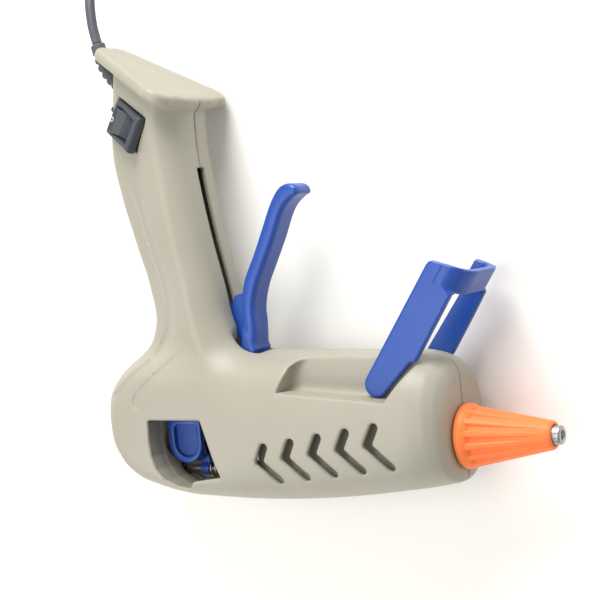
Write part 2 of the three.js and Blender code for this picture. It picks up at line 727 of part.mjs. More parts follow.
const PLUG_X = 86; // front face, pins beyond it
const PLUG_Y = 274;
const PLUG_LONG = 36;
const PLUG_WIDE = 26;
const PLUG_THICK = 14;
const PIN = { spacing: 18.6, long: 19, r: 2 };
function plugSolid() {
  const sections = [[0, 1, 1], [13, 1, 1], [20, 0.86, 0.95], [30, 0.42, 0.72], [PLUG_LONG, 0.3, 0.6]];
  const middle = TABLE_Z + PLUG_THICK / 2;
  const body = loft(sections.map(([x, wide, thick]) => {
    const w = (PLUG_WIDE / 2) * wide;
    const h = (PLUG_THICK / 2) * thick;
    const corners = [[-w, -h, 3], [w, -h, 3], [w, h, 3], [-w, h, 3]];
    return rounded(corners).map((p) => new THREE.Vector3(PLUG_X - x, PLUG_Y + p.x, middle + p.y));
  }));
  const holes = [-1, 1].map((s) => {
    const y = PLUG_Y + (s * PIN.spacing) / 2;
    return bar([PLUG_X + 1, y, middle], [PLUG_X - 8, y, middle], PIN.r + GAP, PIN.r + GAP, 12);
  });
  return cut(body, ...holes);
}

function plugPin(side) {
  const y = PLUG_Y + (side * PIN.spacing) / 2;
  const z = TABLE_Z + PLUG_THICK / 2;
  const tip = PLUG_X + PIN.long;
  return join(
    bar([tip - 1.5, y, z], [PLUG_X - 7.5, y, z], PIN.r, PIN.r, 12),
    bar([tip, y, z], [tip - 1.5, y, z], PIN.r - 0.8, PIN.r, 12),
  );
}

function screwSolid([x, y]) {
  const head = SCREW_HEAD_Z - GAP;
  return cut(
    join(
      bar([x, y, head - 2], [x, y, head], 2.8, 2.8, 12),
      bar([x, y, head - 0.1], [x, y, 10], 1.4, 1.2, 8),
    ),
    box([x - 2, y - 0.4, head - 3], [x + 2, y + 0.4, head - 1]),
    box([x - 0.4, y - 2, head - 3], [x + 0.4, y + 2, head - 1]),
  );
}

// Insulated leads, each a list of points in the gun frame.
const FUSE = { from: [38.6, 68, -8], to: [36.4, 82, -8], r: 2.1 };
const LEADS = {
  lead_live: [[15.2, 138.8, -3], [16, 136.6, -4.4], [18, 131.5, -6.3], [21.3, 126.4, -8]],
  lead_switched: [[28.9, 121.7, -4.8], [30, 112, -7], [33, 97, -8], [36.3, 82.8, -8]],
  lead_heater: [[38.7, 67.3, -8], [40, 56, -9.2], [42, 44, -10.6], [50, 27, -13.4], [64, 17.5, -14.6],
    [78, 14, -13.4], [85, 12.6, -10.4], [88.5, 11.2, -8.4], [91, 10.5, -6.4], [94.8, 10.4, -5]],
  lead_neutral: [[15.5, 139.2, -0.4], [19.4, 136, -5.4], [26, 128.4, -7.4], [31, 121, -7], [34, 114, -1],
    [35, 106, 5], [36.6, 92, 8], [39.4, 70, 9.2], [40.6, 56, 9.6], [42, 44, 10.6], [50, 27, 13.4],
    [64, 17.5, 14.6], [78, 14, 13.4], [85, 12.6, 10.4], [88.5, 11.2, 8.4], [91, 10.5, 6.4], [94.8, 10.4, 5]],
};

// ---------------------------------------------------------------- assembly
const gun = new THREE.Group();
const cordParts = new THREE.Group();

function add(name, solid, finish, group = gun) {
  const mesh = new THREE.Mesh(toGeometry(solid), finish);
  mesh.name = name;
  group.add(mesh);
}

add("left_shell", leftShell(), CASE);
add("right_shell", rightShell(), CASE);
add("trigger", triggerSolid(), BLUE);
add("trigger_pin", bar([...TRIGGER_PIVOT, -13.8], [...TRIGGER_PIVOT, 13.8], 1.55, 1.55, 16), STEEL);
add("link_arm", linkSolid(), STEEL);
for (const [side, word] of [[1, "left"], [-1, "right"]]) {
  add(`fork_pin_${word}`, bar([...FORK_PIN, side * 6.3], [...FORK_PIN, side * 11.4], 1.4, 1.4, 16), STEEL);
  add(`carriage_pin_${word}`, bar([...CARRIAGE_PIN, side * 7.2], [...CARRIAGE_PIN, side * 11.4], 1.5, 1.5, 16), STEEL);
  add(`stand_pin_${word}`, pivotPin(side), STEEL);
}
add("feed_carriage", carriageSolid(), BLUE);
add("grip_jaw", jawSolid(), STEEL);
add("jaw_pin", bar([...JAW_PIVOT, -5.8], [...JAW_PIVOT, 5.8], 1, 1, 12), STEEL);
add("guide_rod", bar([14.4, ROD_Y, 0], [69, ROD_Y, 0], 1.5), STEEL);
add("return_spring", springX(35.8, 65.6, ROD_Y, 2.9, 0.45, 8), STEEL);
add("stand", standSolid(), BLUE);
add("inlet_guide", join(ring(1.6, 14.4, STICK_R + 0.4, 7.1), ring(5.2, 6.6, STICK_R + 0.4, 8.8)), BLACK);
add("feed_sleeve", ring(70, 79.7, STICK_R + 0.3, 8.2), SILICONE);
add("sleeve_clamp", ring(73, 76.4, 8.5, 9.3), STEEL);
add("heating_chamber", chamberSolid(), ALUMINIUM);
add("chamber_ring_rear", ring(87, 91, 8.7, 10.1), CERAMIC);
add("chamber_ring_front", ring(128, 132, 8.7, 10.1), CERAMIC);
add("ptc_heater", box([95.4, 9.2, -7.6], [123, 11.6, 7.6]), CERAMIC);
add("heater_clip", clipSolid(), STEEL);
add("nozzle", nozzleSolid(), STEEL);
add("nozzle_cover", coverSolid(), ORANGE);
add("check_ball", toSolid(new THREE.SphereGeometry(2.4, 12, 8).translate(160.8, 0, 0)), STEEL);
add("check_spring", springX(163.5, 168, 0, 2.1, 0.25, 4), STEEL);
add("switch_body", switchBodySolid(), BLACK);
add("switch_rocker", rockerSolid(), BLACK);
terminals().forEach(({ name, solid }) => add(name, solid, BRASS));
add("indicator_lens", onSwitch(new THREE.CylinderGeometry(1.3, 1.3, 5, 12)
  .rotateX(Math.PI / 2).translate(...LENS_AT, -3.4)), BLACK);
add("thermal_fuse", bar(FUSE.from, FUSE.to, FUSE.r, FUSE.r, 12), WHITE);
for (const [name, points] of Object.entries(LEADS)) {
  add(name, tube(points, 0.9, 6, points.length * 2), SILICONE);
}
SCREWS.forEach((at, i) => add(`case_screw_${i + 1}`, screwSolid(at), STEEL));
add("strain_relief", reliefSolid(), RUBBER);
add("power_cord", tube(CORD_OUT, CORD_R, 8, 18), RUBBER, cordParts);
add("cord_tail", cordTail(), RUBBER, cordParts);
add("cord_coil", coilSolid(), RUBBER, cordParts);
add("cord_tie", tieSolid(), BLACK, cordParts);
add("mains_plug", plugSolid(), RUBBER, cordParts);
add("plug_pin_left", plugPin(1), BRASS, cordParts);
add("plug_pin_right", plugPin(-1), BRASS, cordParts);

// Rest the gun on Z = 0 and centre it, without its cord, over the origin.
const extent = new THREE.Box3().setFromObject(gun);
const centre = extent.getCenter(new THREE.Vector3());
gun.add(cordParts);
gun.position.set(-centre.x, -centre.y, -extent.min.z);
export default gun;
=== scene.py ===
import json
import math
import bpy
import numpy as np
from mathutils import Matrix, Vector

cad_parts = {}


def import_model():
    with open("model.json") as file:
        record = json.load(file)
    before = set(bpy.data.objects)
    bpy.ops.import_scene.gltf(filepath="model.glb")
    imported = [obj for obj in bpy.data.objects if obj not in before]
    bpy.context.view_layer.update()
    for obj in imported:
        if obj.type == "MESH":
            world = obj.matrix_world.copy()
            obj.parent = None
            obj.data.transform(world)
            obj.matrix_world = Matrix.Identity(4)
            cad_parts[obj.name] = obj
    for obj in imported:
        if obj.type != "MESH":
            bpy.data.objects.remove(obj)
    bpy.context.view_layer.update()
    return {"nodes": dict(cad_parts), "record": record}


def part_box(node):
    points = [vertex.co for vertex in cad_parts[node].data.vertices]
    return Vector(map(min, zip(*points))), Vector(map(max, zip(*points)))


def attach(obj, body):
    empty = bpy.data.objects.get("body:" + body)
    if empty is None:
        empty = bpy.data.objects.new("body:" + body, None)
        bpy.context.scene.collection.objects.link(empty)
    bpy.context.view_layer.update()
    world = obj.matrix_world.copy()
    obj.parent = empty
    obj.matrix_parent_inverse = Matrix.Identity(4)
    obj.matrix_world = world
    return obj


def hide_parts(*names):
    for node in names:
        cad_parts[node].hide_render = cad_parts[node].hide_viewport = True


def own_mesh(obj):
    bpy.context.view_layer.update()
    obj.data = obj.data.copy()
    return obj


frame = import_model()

# ---------------------------------------------------------------- the gun's own frame, in millimetres
# +X along the nozzle axis, +Y towards the foot, +Z towards the left side, 0 on the parting plane.
MM = 0.001
TIP_X = 188.0
tip_low, tip_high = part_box("nozzle")
ORIGIN = np.array([tip_high[0] - TIP_X * MM, (tip_low[1] + tip_high[1]) / 2, (tip_low[2] + tip_high[2]) / 2])


def world(p):
    """Points of the gun's frame, in millimetres, as points of the shared frame, in metres."""
    return ORIGIN + np.asarray(p, float) * MM


# ---------------------------------------------------------------- camera
VIEW_AZ, VIEW_EL, VIEW_ROLL = math.radians(32), math.radians(3), math.radians(-5.5)
VIEW_AT = (84.544, 53.433, 0)
VIEW_FROM = 615.38
LENS_MM, SENSOR_MM = 96.0, 36.0


def add_camera():
    level = math.cos(VIEW_EL)
    back = Vector((math.sin(VIEW_AZ) * level, math.sin(VIEW_EL), math.cos(VIEW_AZ) * level))
    right = Vector((0, 1, 0)).cross(back).normalized()
    up = back.cross(right)
    r = right * math.cos(VIEW_ROLL) + up * math.sin(VIEW_ROLL)
    u = up * math.cos(VIEW_ROLL) - right * math.sin(VIEW_ROLL)
    data = bpy.data.cameras.new("camera")
    data.lens, data.sensor_width = LENS_MM, SENSOR_MM
    data.clip_start, data.clip_end = 0.02, 20
    cam = bpy.data.objects.new("camera", data)
    turn = Matrix((r, u, back)).transposed().to_4x4()
    cam.matrix_world = Matrix.Translation(Vector(world(VIEW_AT)) + back * VIEW_FROM * MM) @ turn
    bpy.context.scene.collection.objects.link(cam)
    bpy.context.scene.camera = cam


add_camera()


# ---------------------------------------------------------------- materials
RAMP_FROM, RAMP_TO = 0.32, 0.68  # the noise values between which the colour changes
RUB_FROM, RUB_TO, RUB_SHARE = 0.53, 0.62, 0.55  # pointiness where wear starts and is full, and its strength
RELIEF_DEPTH = 0.0004
SCATTER_RADIUS, SCATTER_SCALE = (0.004, 0.003, 0.002), 0.4


def srgb(h):
    """A hexadecimal sRGB colour as linear red, green, blue and alpha."""
    c = [((h >> s) & 255) / 255 for s in (16, 8, 0)]
    return tuple(v / 12.92 if v <= 0.04045 else ((v + 0.055) / 1.055) ** 2.4 for v in c) + (1.0,)


def surface(name, color, dark, roughness, mottle, grain, bump, rough_spread=0.08, metallic=0.0, coat=0.0,
            sheen=0.0, scatter=0.0, stretch=None, edge=None):
    """A Principled material with colour variation, roughness variation and a fine bump, all from noise.

    mottle and grain are the noise's scales for colour and for bump; edge is the colour of rubbed edges."""
    mat = bpy.data.materials.new(name)
    mat.use_nodes = True
    tree = mat.node_tree
    shader = tree.nodes["Principled BSDF"]
    coords = tree.nodes.new("ShaderNodeTexCoord")
    source = coords.outputs["Object"]
    if stretch:
        mapping = tree.nodes.new("ShaderNodeMapping")
        mapping.inputs["Scale"].default_value = stretch
        tree.links.new(source, mapping.inputs["Vector"])
        source = mapping.outputs["Vector"]

    def noise(scale, detail, rough=0.5):
        node = tree.nodes.new("ShaderNodeTexNoise")
        node.inputs["Scale"].default_value = scale
        node.inputs["Detail"].default_value = detail
        node.inputs["Roughness"].default_value = rough
        tree.links.new(source, node.inputs["Vector"])
        return node.outputs["Fac"]

    ramp = tree.nodes.new("ShaderNodeValToRGB")
    for stop, position, value in zip(ramp.color_ramp.elements, (RAMP_FROM, RAMP_TO), (dark, color)):
        stop.position, stop.color = position, srgb(value)
    tree.links.new(noise(mottle, 4), ramp.inputs["Fac"])
    tint = ramp.outputs["Color"]
    if edge is not None:
        geometry = tree.nodes.new("ShaderNodeNewGeometry")
        rub = tree.nodes.new("ShaderNodeMapRange")
        rub.inputs["From Min"].default_value, rub.inputs["From Max"].default_value = RUB_FROM, RUB_TO
        rub.inputs["To Max"].default_value = RUB_SHARE
        tree.links.new(geometry.outputs["Pointiness"], rub.inputs["Value"])
        mix = tree.nodes.new("ShaderNodeMix")
        mix.data_type = "RGBA"
        tree.links.new(rub.outputs["Result"], mix.inputs["Factor"])
        tree.links.new(tint, mix.inputs["A"])
        mix.inputs["B"].default_value = srgb(edge)
        tint = mix.outputs["Result"]
    tree.links.new(tint, shader.inputs["Base Color"])

    spread = tree.nodes.new("ShaderNodeMapRange")
    spread.inputs["To Min"].default_value = max(roughness - rough_spread, 0.02)
    spread.inputs["To Max"].default_value = min(roughness + rough_spread, 1.0)
    tree.links.new(noise(mottle * 3.1, 3), spread.inputs["Value"])
    tree.links.new(spread.outputs["Result"], shader.inputs["Roughness"])

    relief = tree.nodes.new("ShaderNodeBump")
    relief.inputs["Strength"].default_value = bump
    relief.inputs["Distance"].default_value = RELIEF_DEPTH
    tree.links.new(noise(grain, 2, 0.6), relief.inputs["Height"])
    tree.links.new(relief.outputs["Normal"], shader.inputs["Normal"])

    shader.inputs["Metallic"].default_value = metallic
    shader.inputs["Coat Weight"].default_value = coat
    shader.inputs["Sheen Weight"].default_value = sheen
    if scatter:
        shader.inputs["Subsurface Weight"].default_value = scatter
        shader.inputs["Subsurface Radius"].default_value = SCATTER_RADIUS
        shader.inputs["Subsurface Scale"].default_value = SCATTER_SCALE
    return mat


CASE = surface("case_abs", 0xA39F91, 0x9F9B8C, roughness=0.44, mottle=25, grain=1400, bump=0.10,
               edge=0xAEAA9D)
BLUE = surface("blue_nylon", 0x1F4B9E, 0x1C459D, roughness=0.30, mottle=30, grain=700, bump=0.05,
               rough_spread=0.06, scatter=0.05, edge=0x3563BC)
ORANGE = surface("orange_silicone", 0xFF7F38, 0xFA7731, roughness=0.52, mottle=60, grain=1600, bump=0.08,
                 scatter=0.15, sheen=0.1, edge=0xFF9A5C)
STEEL = surface("plated_steel", 0xC2C2C2, 0xA9A8A6, roughness=0.28, mottle=160, grain=1500, bump=0.08,
                metallic=1.0)
TIP_STEEL = surface("turned_steel", 0xBDBCBA, 0x9C9A97, roughness=0.34, mottle=260, grain=1800, bump=0.12,
                    metallic=1.0, stretch=(6, 1, 1))
ALUMINIUM = surface("cast_aluminium", 0xC6C7C9, 0xB2B3B6, roughness=0.5, mottle=200, grain=900, bump=0.2,
                    metallic=1.0)
BLACK = surface("dark_plastic", 0x41464F, 0x3C4049, roughness=0.38, mottle=80, grain=1500, bump=0.08,
                edge=0x5A606C)
ROCKER = surface("rocker_plastic", 0x383C45, 0x34373F, roughness=0.26, mottle=80, grain=1500, bump=0.05,
                 edge=0x5A606C)
RUBBER = surface("grey_pvc", 0x4E5159, 0x484B53, roughness=0.5, mottle=90, grain=1300, bump=0.12,
                 edge=0x62656C)
BRASS = surface("brass", 0xC9A750, 0xB08E3C, roughness=0.3, mottle=220, grain=1200, bump=0.08, metallic=1.0)
SILICONE = surface("red_silicone", 0xB54A32, 0xA8412B, roughness=0.6, mottle=80, grain=900, bump=0.08)
CERAMIC = surface("ceramic", 0xE6E1D2, 0xDAD4C2, roughness=0.75, mottle=120, grain=700, bump=0.25)
GLASS_FIBRE = surface("glass_fibre", 0xE8E6DE, 0xD9D6CB, roughness=0.7, mottle=500, grain=2400, bump=0.5)
LENS = surface("smoked_lens", 0x3A2A2C, 0x2C2224, roughness=0.12, mottle=60, grain=300, bump=0.02,
               rough_spread=0.03, coat=0.6)
MARK = surface("white_mark", 0xE8E8E4, 0xD8D8D2, roughness=0.6, mottle=200, grain=900, bump=0.05)
SLOTS = {
    "case": CASE, "blue": BLUE, "orange": ORANGE, "steel": STEEL, "aluminium": ALUMINIUM, "black": BLACK,
    "rubber": RUBBER, "brass": BRASS, "silicone": SILICONE, "ceramic": CERAMIC, "white": GLASS_FIBRE,
}
SLOT_OF = {row["node"]: row["material_slot"] for row in frame["record"]["subparts"]}


# ---------------------------------------------------------------- pieces
def add_piece(name, verts, faces, mat, body, slot, nodes=()):
    """A mesh in the gun's millimetres, placed in the frame, riding on a body and standing for CAD nodes."""
    mesh = bpy.data.meshes.new(name)
    points = np.ascontiguousarray(world(np.asarray(verts, float)))
    if isinstance(faces, np.ndarray):
        count, sides = faces.shape
        mesh.vertices.add(len(points))
        mesh.vertices.foreach_set("co", points.astype(np.float32).ravel())
        mesh.loops.add(count * sides)
        mesh.loops.foreach_set("vertex_index", faces.astype(np.int32).ravel())
        mesh.polygons.add(count)
        mesh.polygons.foreach_set("loop_start", np.arange(0, count * sides, sides, dtype=np.int32))
        mesh.update(calc_edges=True)
    else:
        mesh.from_pydata([tuple(p) for p in points], [], faces)
    mesh.validate()
    mesh.materials.append(mat)
    mesh.polygons.foreach_set("use_smooth", np.ones(len(mesh.polygons), bool))
    mesh.update()
    piece = bpy.data.objects.new(name, mesh)
    bpy.context.scene.collection.objects.link(piece)
    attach(piece, body)
    if nodes:
        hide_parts(*nodes)
    return piece


def decimate(piece, ratio):
    """Fewer faces where the surface is nearly flat."""
    modifier = piece.modifiers.new("decimate", "DECIMATE")
    modifier.ratio = ratio
    bpy.context.view_layer.objects.active = piece
    bpy.ops.object.modifier_apply(modifier=modifier.name)


def curve(xs, ys, x):
    """Smooth interpolation through the points, level beyond both ends."""
    xs, ys = np.asarray(xs, float), np.asarray(ys, float)
    slope = np.gradient(ys, xs)
    x = np.clip(x, xs[0], xs[-1])
    i = np.clip(np.searchsorted(xs, x) - 1, 0, len(xs) - 2)
    span = xs[i + 1] - xs[i]
    t = (x - xs[i]) / span
    return (ys[i] * (1 + 2 * t) * (1 - t) ** 2 + span * slope[i] * t * (1 - t) ** 2
            + ys[i + 1] * t * t * (3 - 2 * t) + span * slope[i + 1] * t * t * (t - 1))


def smooth_path(points, step):
    """Points at about equal steps on a Catmull-Rom curve."""
    p = np.asarray(points, float)
    p = np.vstack([2 * p[0] - p[1], p, 2 * p[-1] - p[-2]])
    out = []
    for a, b, c, d in zip(p[:-3], p[1:-2], p[2:-1], p[3:]):
        t = np.linspace(0, 1, 24, endpoint=False)[:, None]
        out.append(0.5 * (2 * b + (c - a) * t + (2 * a - 5 * b + 4 * c - d) * t ** 2
                          + (3 * b - a - 3 * c + d) * t ** 3))
    out.append(p[-2][None])
    dense = np.vstack(out)
    along = np.concatenate([[0], np.cumsum(np.linalg.norm(np.diff(dense, axis=0), axis=1))])
    at = np.linspace(0, along[-1], max(int(along[-1] / step), 2) + 1)
    return np.stack([np.interp(at, along, dense[:, k]) for k in range(3)], 1)


def sweep(path, radius, sides=24):
    """A closed tube round a path; radius is a number or one per point."""
    path = np.asarray(path, float)
    radius = np.broadcast_to(radius, len(path))
    tangent = np.gradient(path, axis=0)
    tangent /= np.linalg.norm(tangent, axis=1)[:, None]
    side = np.cross(tangent[0], (0, 0, 1.0) if abs(tangent[0][2]) < 0.9 else (1.0, 0, 0))
    verts = []
    turn = np.linspace(0, 2 * np.pi, sides, endpoint=False)
    for p, t, r in zip(path, tangent, radius):
        side = side - t * (side @ t)
        side /= np.linalg.norm(side)
        other = np.cross(t, side)
        verts.append(p + r * (np.cos(turn)[:, None] * side + np.sin(turn)[:, None] * other))
    verts = np.vstack(verts + [path[:1], path[-1:]])
    faces = []
    for k in range(len(path) - 1):
        for i in range(sides):
            j = (i + 1) % sides
            faces.append((k * sides + i, k * sides + j, (k + 1) * sides + j, (k + 1) * sides + i))
    last = (len(path) - 1) * sides
    first_hub, last_hub = len(verts) - 2, len(verts) - 1
    for i in range(sides):
        j = (i + 1) % sides
        faces.append((first_hub, j, i))
        faces.append((last_hub, last + i, last + j))
    return verts, faces


def lathe(profile, sides=64, bend=None):
    """A closed profile of [x, r] turned about the X axis; bend(x, r, angle) may change the radius."""
    verts, faces = [], []
    turn = np.linspace(0, 2 * np.pi, sides, endpoint=False)
    for x, r in profile:
        rr = np.full(sides, float(r)) if bend is None else bend(x, r, turn)
        verts.append(np.stack([np.full(sides, x), rr * np.cos(turn), rr * np.sin(turn)], 1))
    n = len(profile)
    for k in range(n):
        m = (k + 1) % n
        for i in range(sides):
            j = (i + 1) % sides
            faces.append((k * sides + i, m * sides + i, m * sides + j, k * sides + j))
    return np.vstack(verts), faces


# ---------------------------------------------------------------- solids from distance fields
def smax(a, b, k):
    """The larger of two fields, with the edge between them rounded over a width k."""
    h = np.maximum(k - np.abs(a - b), 0) / k
    return np.maximum(a, b) + h * h * (k * 0.25)


def smin(a, b, k):
    """The smaller of two fields, with the corner between them filled over a width k."""
    return -smax(-a, -b, k)


def polygon(corners, x, y):
    """Signed distance to a closed outline, negative inside."""
    corners = np.asarray(corners, float)
    best = np.full(np.broadcast(x, y).shape, 1e9)
    sign = np.ones_like(best)
    for (ax, ay), (bx, by) in zip(corners, np.roll(corners, -1, axis=0)):
        ex, ey, wx, wy = bx - ax, by - ay, x - ax, y - ay
        t = np.clip((wx * ex + wy * ey) / (ex * ex + ey * ey), 0, 1)
        best = np.minimum(best, (wx - ex * t) ** 2 + (wy - ey * t) ** 2)
        above, below, left = y >= ay, y < by, ex * wy > ey * wx
        flip = (above & below & left) | (~above & ~below & ~left)
        sign = np.where(flip, -sign, sign)
    return sign * np.sqrt(best)


def inset(corners, by):
    """A convex outline, listed clockwise, drawn in by a distance."""
    c = np.asarray(corners, float)
    edge = np.roll(c, -1, axis=0) - c
    edge /= np.linalg.norm(edge, axis=1)[:, None]
    inward = np.stack([edge[:, 1], -edge[:, 0]], 1)
    offset = (inward * c).sum(1) + by
    before, offset_before = np.roll(inward, 1, axis=0), np.roll(offset, 1)
    det = before[:, 0] * inward[:, 1] - before[:, 1] * inward[:, 0]
    return np.stack([(offset_before * inward[:, 1] - offset * before[:, 1]) / det,
                     (before[:, 0] * offset - inward[:, 0] * offset_before) / det], 1)


def polyline(points, x, y):
    """Distance to an open line."""
    points = np.asarray(points, float)
    best = np.full(np.broadcast(x, y).shape, 1e9)
    for (ax, ay), (bx, by) in zip(points[:-1], points[1:]):
        ex, ey, wx, wy = bx - ax, by - ay, x - ax, y - ay
        t = np.clip((wx * ex + wy * ey) / (ex * ex + ey * ey), 0, 1)
        best = np.minimum(best, (wx - ex * t) ** 2 + (wy - ey * t) ** 2)
    return np.sqrt(best)


def rod(a, b, r, x, y, z):
    """Signed distance to a round bar with flat ends."""
    a, b = np.asarray(a, float), np.asarray(b, float)
    d = b - a
    long = np.linalg.norm(d)
    d /= long
    t = (x - a[0]) * d[0] + (y - a[1]) * d[1] + (z - a[2]) * d[2]
    far = (x - a[0]) ** 2 + (y - a[1]) ** 2 + (z - a[2]) ** 2 - t * t
    return np.maximum(np.sqrt(np.maximum(far, 0)) - r, np.maximum(-t, t - long))


def block(low, high, x, y, z):
    """A box between two corners."""
    return np.maximum(np.maximum(np.maximum(low[0] - x, x - high[0]), np.maximum(low[1] - y, y - high[1])),
                      np.maximum(low[2] - z, z - high[2]))


class Grid:
    """The x, y and z of evenly spaced points in a box, ready to broadcast."""

    def __init__(self, low, high, step):
        self.low, self.step = np.asarray(low, float), step
        axes = [np.arange(a, b + step, step) for a, b in zip(low, high)]
        self.x = axes[0][:, None, None].astype(np.float32)
        self.y = axes[1][None, :, None].astype(np.float32)
        self.z = axes[2][None, None, :].astype(np.float32)


def net(field, grid):
    """Surface nets: one vertex for each cell the surface crosses, one quad for each crossed grid edge."""
    f = np.broadcast_to(field, (grid.x.shape[0], grid.y.shape[1], grid.z.shape[2])).astype(np.float32)
    f = np.pad(f, 1, constant_values=9.0)
    low = grid.low - grid.step
    inside = f < 0
    total = np.zeros(tuple(n - 1 for n in f.shape), np.int8)
    corners = [(i, j, k) for i in (0, 1) for j in (0, 1) for k in (0, 1)]
    for i, j, k in corners:
        total += inside[i:f.shape[0] - 1 + i, j:f.shape[1] - 1 + j, k:f.shape[2] - 1 + k]
    active = (total > 0) & (total < 8)
    cells = np.argwhere(active)
    index = np.full(total.shape, -1, np.int32)
    index[active] = np.arange(len(cells))
    place, count = np.zeros((len(cells), 3)), np.zeros(len(cells))
    for a in corners:
        for axis in range(3):
            if a[axis]:
                continue
            b = tuple(1 if n == axis else v for n, v in enumerate(a))
            fa = f[tuple((cells + a).T)]
            fb = f[tuple((cells + b).T)]
            hit = (fa < 0) != (fb < 0)
            t = np.where(hit, fa / np.where(hit, fa - fb, 1), 0)
            spot = np.tile(np.array(a, float), (len(cells), 1))
            spot[:, axis] += t
            place[hit] += spot[hit]
            count += hit
    verts = cells + place / count[:, None]
    faces = []
    for axis in range(3):
        o1, o2 = [n for n in range(3) if n != axis]
        low_side = np.take(inside, range(f.shape[axis] - 1), axis)
        high_side = np.take(inside, range(1, f.shape[axis]), axis)
        edges = np.argwhere(low_side != high_side)
        edges = edges[(edges[:, o1] > 0) & (edges[:, o2] > 0)]
        starts = low_side[tuple(edges.T)]
        shift1, shift2 = np.eye(3, dtype=int)[o1], np.eye(3, dtype=int)[o2]
        ring = [index[tuple((edges - s).T)] for s in (shift1 + shift2, shift2, 0, shift1)]
        quad = np.stack(ring, 1)
        turned = starts if axis != 1 else ~starts
        quad[~turned] = quad[~turned][:, ::-1]
        faces.append(quad)
    # pull each vertex onto the surface along the field's slope
    slope = np.stack(np.gradient(f), -1)
    for _ in range(2):
        base = np.clip(np.floor(verts).astype(int), 0, np.array(f.shape) - 2)
        t = verts - base
        value, g = np.zeros(len(verts)), np.zeros((len(verts), 3))
        for c in corners:
            w = np.prod(np.where(c, t, 1 - t), axis=1)
            at = tuple((base + c).T)
            value += w * f[at]
            g += w[:, None] * slope[at]
        size = np.maximum((g * g).sum(1), (0.5 * grid.step) ** 2)
        move = g * (value / size)[:, None]
        far = np.linalg.norm(move, axis=1)
        verts = verts - move * np.minimum(1, 0.5 / np.maximum(far, 1e-6))[:, None]
    return low + verts * grid.step, np.vstack(faces)


def add_solid(name, field, grid, *finish, place=None):
    """The surface where a field is zero, as a piece; place may move its vertices first."""
    verts, faces = net(field, grid)
    return add_piece(name, place(verts) if place else verts, faces, *finish)


# ---------------------------------------------------------------- cord
CORD_R = 2.1
TABLE_Z = -24.0
REST = TABLE_Z + CORD_R
COIL_AT, COIL_R, COIL_LIFT = (20.0, 234.0), 25.0, 1.4
COIL_START, TURN_POINTS = 152.0, 24
CORD_OUT = [
    (-1.1, 163.8, 0), (-2.7, 171, -0.2), (-4.2, 180, -1.8), (-6, 190, -5.6), (-8, 200, -10.9),
    (-10.2, 210, -16.2), (-12.2, 220, -20), (-13.9, 229, -21.6), (-14.4, 236, REST), (-14, 243, REST),
]
PLUG_X, PLUG_Y, PLUG_LONG = 86.0, 274.0, 36.0
PLUG_Z = TABLE_Z + 7.0
PIN_APART, PIN_R = 9.3, 2.0


def cord_route():
    """The cord's middle line: out of the relief, round the coil in eight turns, and on to the plug."""
    def polar(deg, r, z):
        a = math.radians(deg)
        return (COIL_AT[0] + r * math.cos(a), COIL_AT[1] + r * math.sin(a), z)

    step = 2 * CORD_R + 0.05
    levels = [TABLE_Z + COIL_LIFT + CORD_R + 0.05 + n * step for n in range(3)]
    outer, middle, inner = COIL_R + step, COIL_R, COIL_R - step
    # a radius and a level for each turn, wound clockwise as seen from the left side
    turns = [(outer, 0), (middle, 0), (inner, 0), (inner, 1), (middle, 1), (outer, 1), (middle, 2),
             (outer, 2)]
    route = list(CORD_OUT)
    for n, (r, level) in enumerate(turns):
        after = turns[n + 1] if n + 1 < len(turns) else None
        for m in range(TURN_POINTS):
            # the last quarter of a turn leads over to the next
            part = max(0.0, (m - TURN_POINTS * 0.75) / (TURN_POINTS * 0.25))
            part = part * part * (3 - 2 * part)
            r_at, z_at = r, levels[level]
            if after:
                r_at += (after[0] - r) * part
                z_at += (levels[after[1]] - levels[level]) * part
            route.append(polar(COIL_START - 360 * (n + m / TURN_POINTS), r_at, z_at))
    # over the outside of the coil, down to the table and round to the plug
    top = levels[2]
    down = ((150, 29.8, top - 0.3), (142, 31.5, top - 2.6), (134, 33.4, top - 6.4), (124, 34.3, REST + 0.5))
    route += [polar(*at) for at in down] + [polar(deg, 34.4, REST) for deg in (112, 100, 88, 80)]
    end = PLUG_X - PLUG_LONG
    route += [(end - 14.8, PLUG_Y - 3.4, REST + 0.8), (end - 7.3, PLUG_Y - 1, PLUG_Z - 1.4)]
    route += [(end - 0.3, PLUG_Y, PLUG_Z)]
    return smooth_path(route, 2.2)


route = cord_route()
wire = bpy.data.curves.new("mains_cord", "CURVE")
wire.dimensions = "3D"
wire.bevel_depth = CORD_R * MM
wire.bevel_resolution = 5
wire.use_fill_caps = True
line = wire.splines.new("POLY")
line.points.add(len(route) - 1)
for point, p in zip(line.points, world(route)):
    point.co = (*p, 1)
line.use_smooth = True
wire.materials.append(RUBBER)
cord = bpy.data.objects.new("mains_cord", wire)
bpy.context.scene.collection.objects.link(cord)
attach(cord, "housing")
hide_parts("power_cord", "cord_tail", "cord_coil")


def plug_body():
    grid = Grid((49.5, 260, -24.5), (86.6, 288, -9.5), 0.5)
    x, y, z = grid.x, grid.y - PLUG_Y, grid.z - PLUG_Z
    t = PLUG_X - x
    wide = curve([0, 12, 19, 29, 36], [13, 13, 11.6, 5.6, 4], t)
    tall = curve([0, 12, 19, 29, 36], [7, 7, 6.6, 5, 4.1], t)
    f = smax(smax(np.abs(y) - wide, np.abs(z) - tall, 4.5), np.maximum(-t, t - PLUG_LONG), 1.6)
    ribs = 0.45 * np.cos(2 * np.pi * t / 2.8) * np.clip((t - 16) / 2, 0, 1) * np.clip((31 - t) / 2, 0, 1)
    f = f + np.maximum(ribs, 0)
    for s in (1, -1):
        hole = np.maximum(np.hypot(y - s * PIN_APART, z) - PIN_R - 0.2, t - 8)
        f = smax(f, -hole, 0.4)
    return add_solid("plug_body", f, grid, RUBBER, "housing", "rubber", ["mains_plug"])


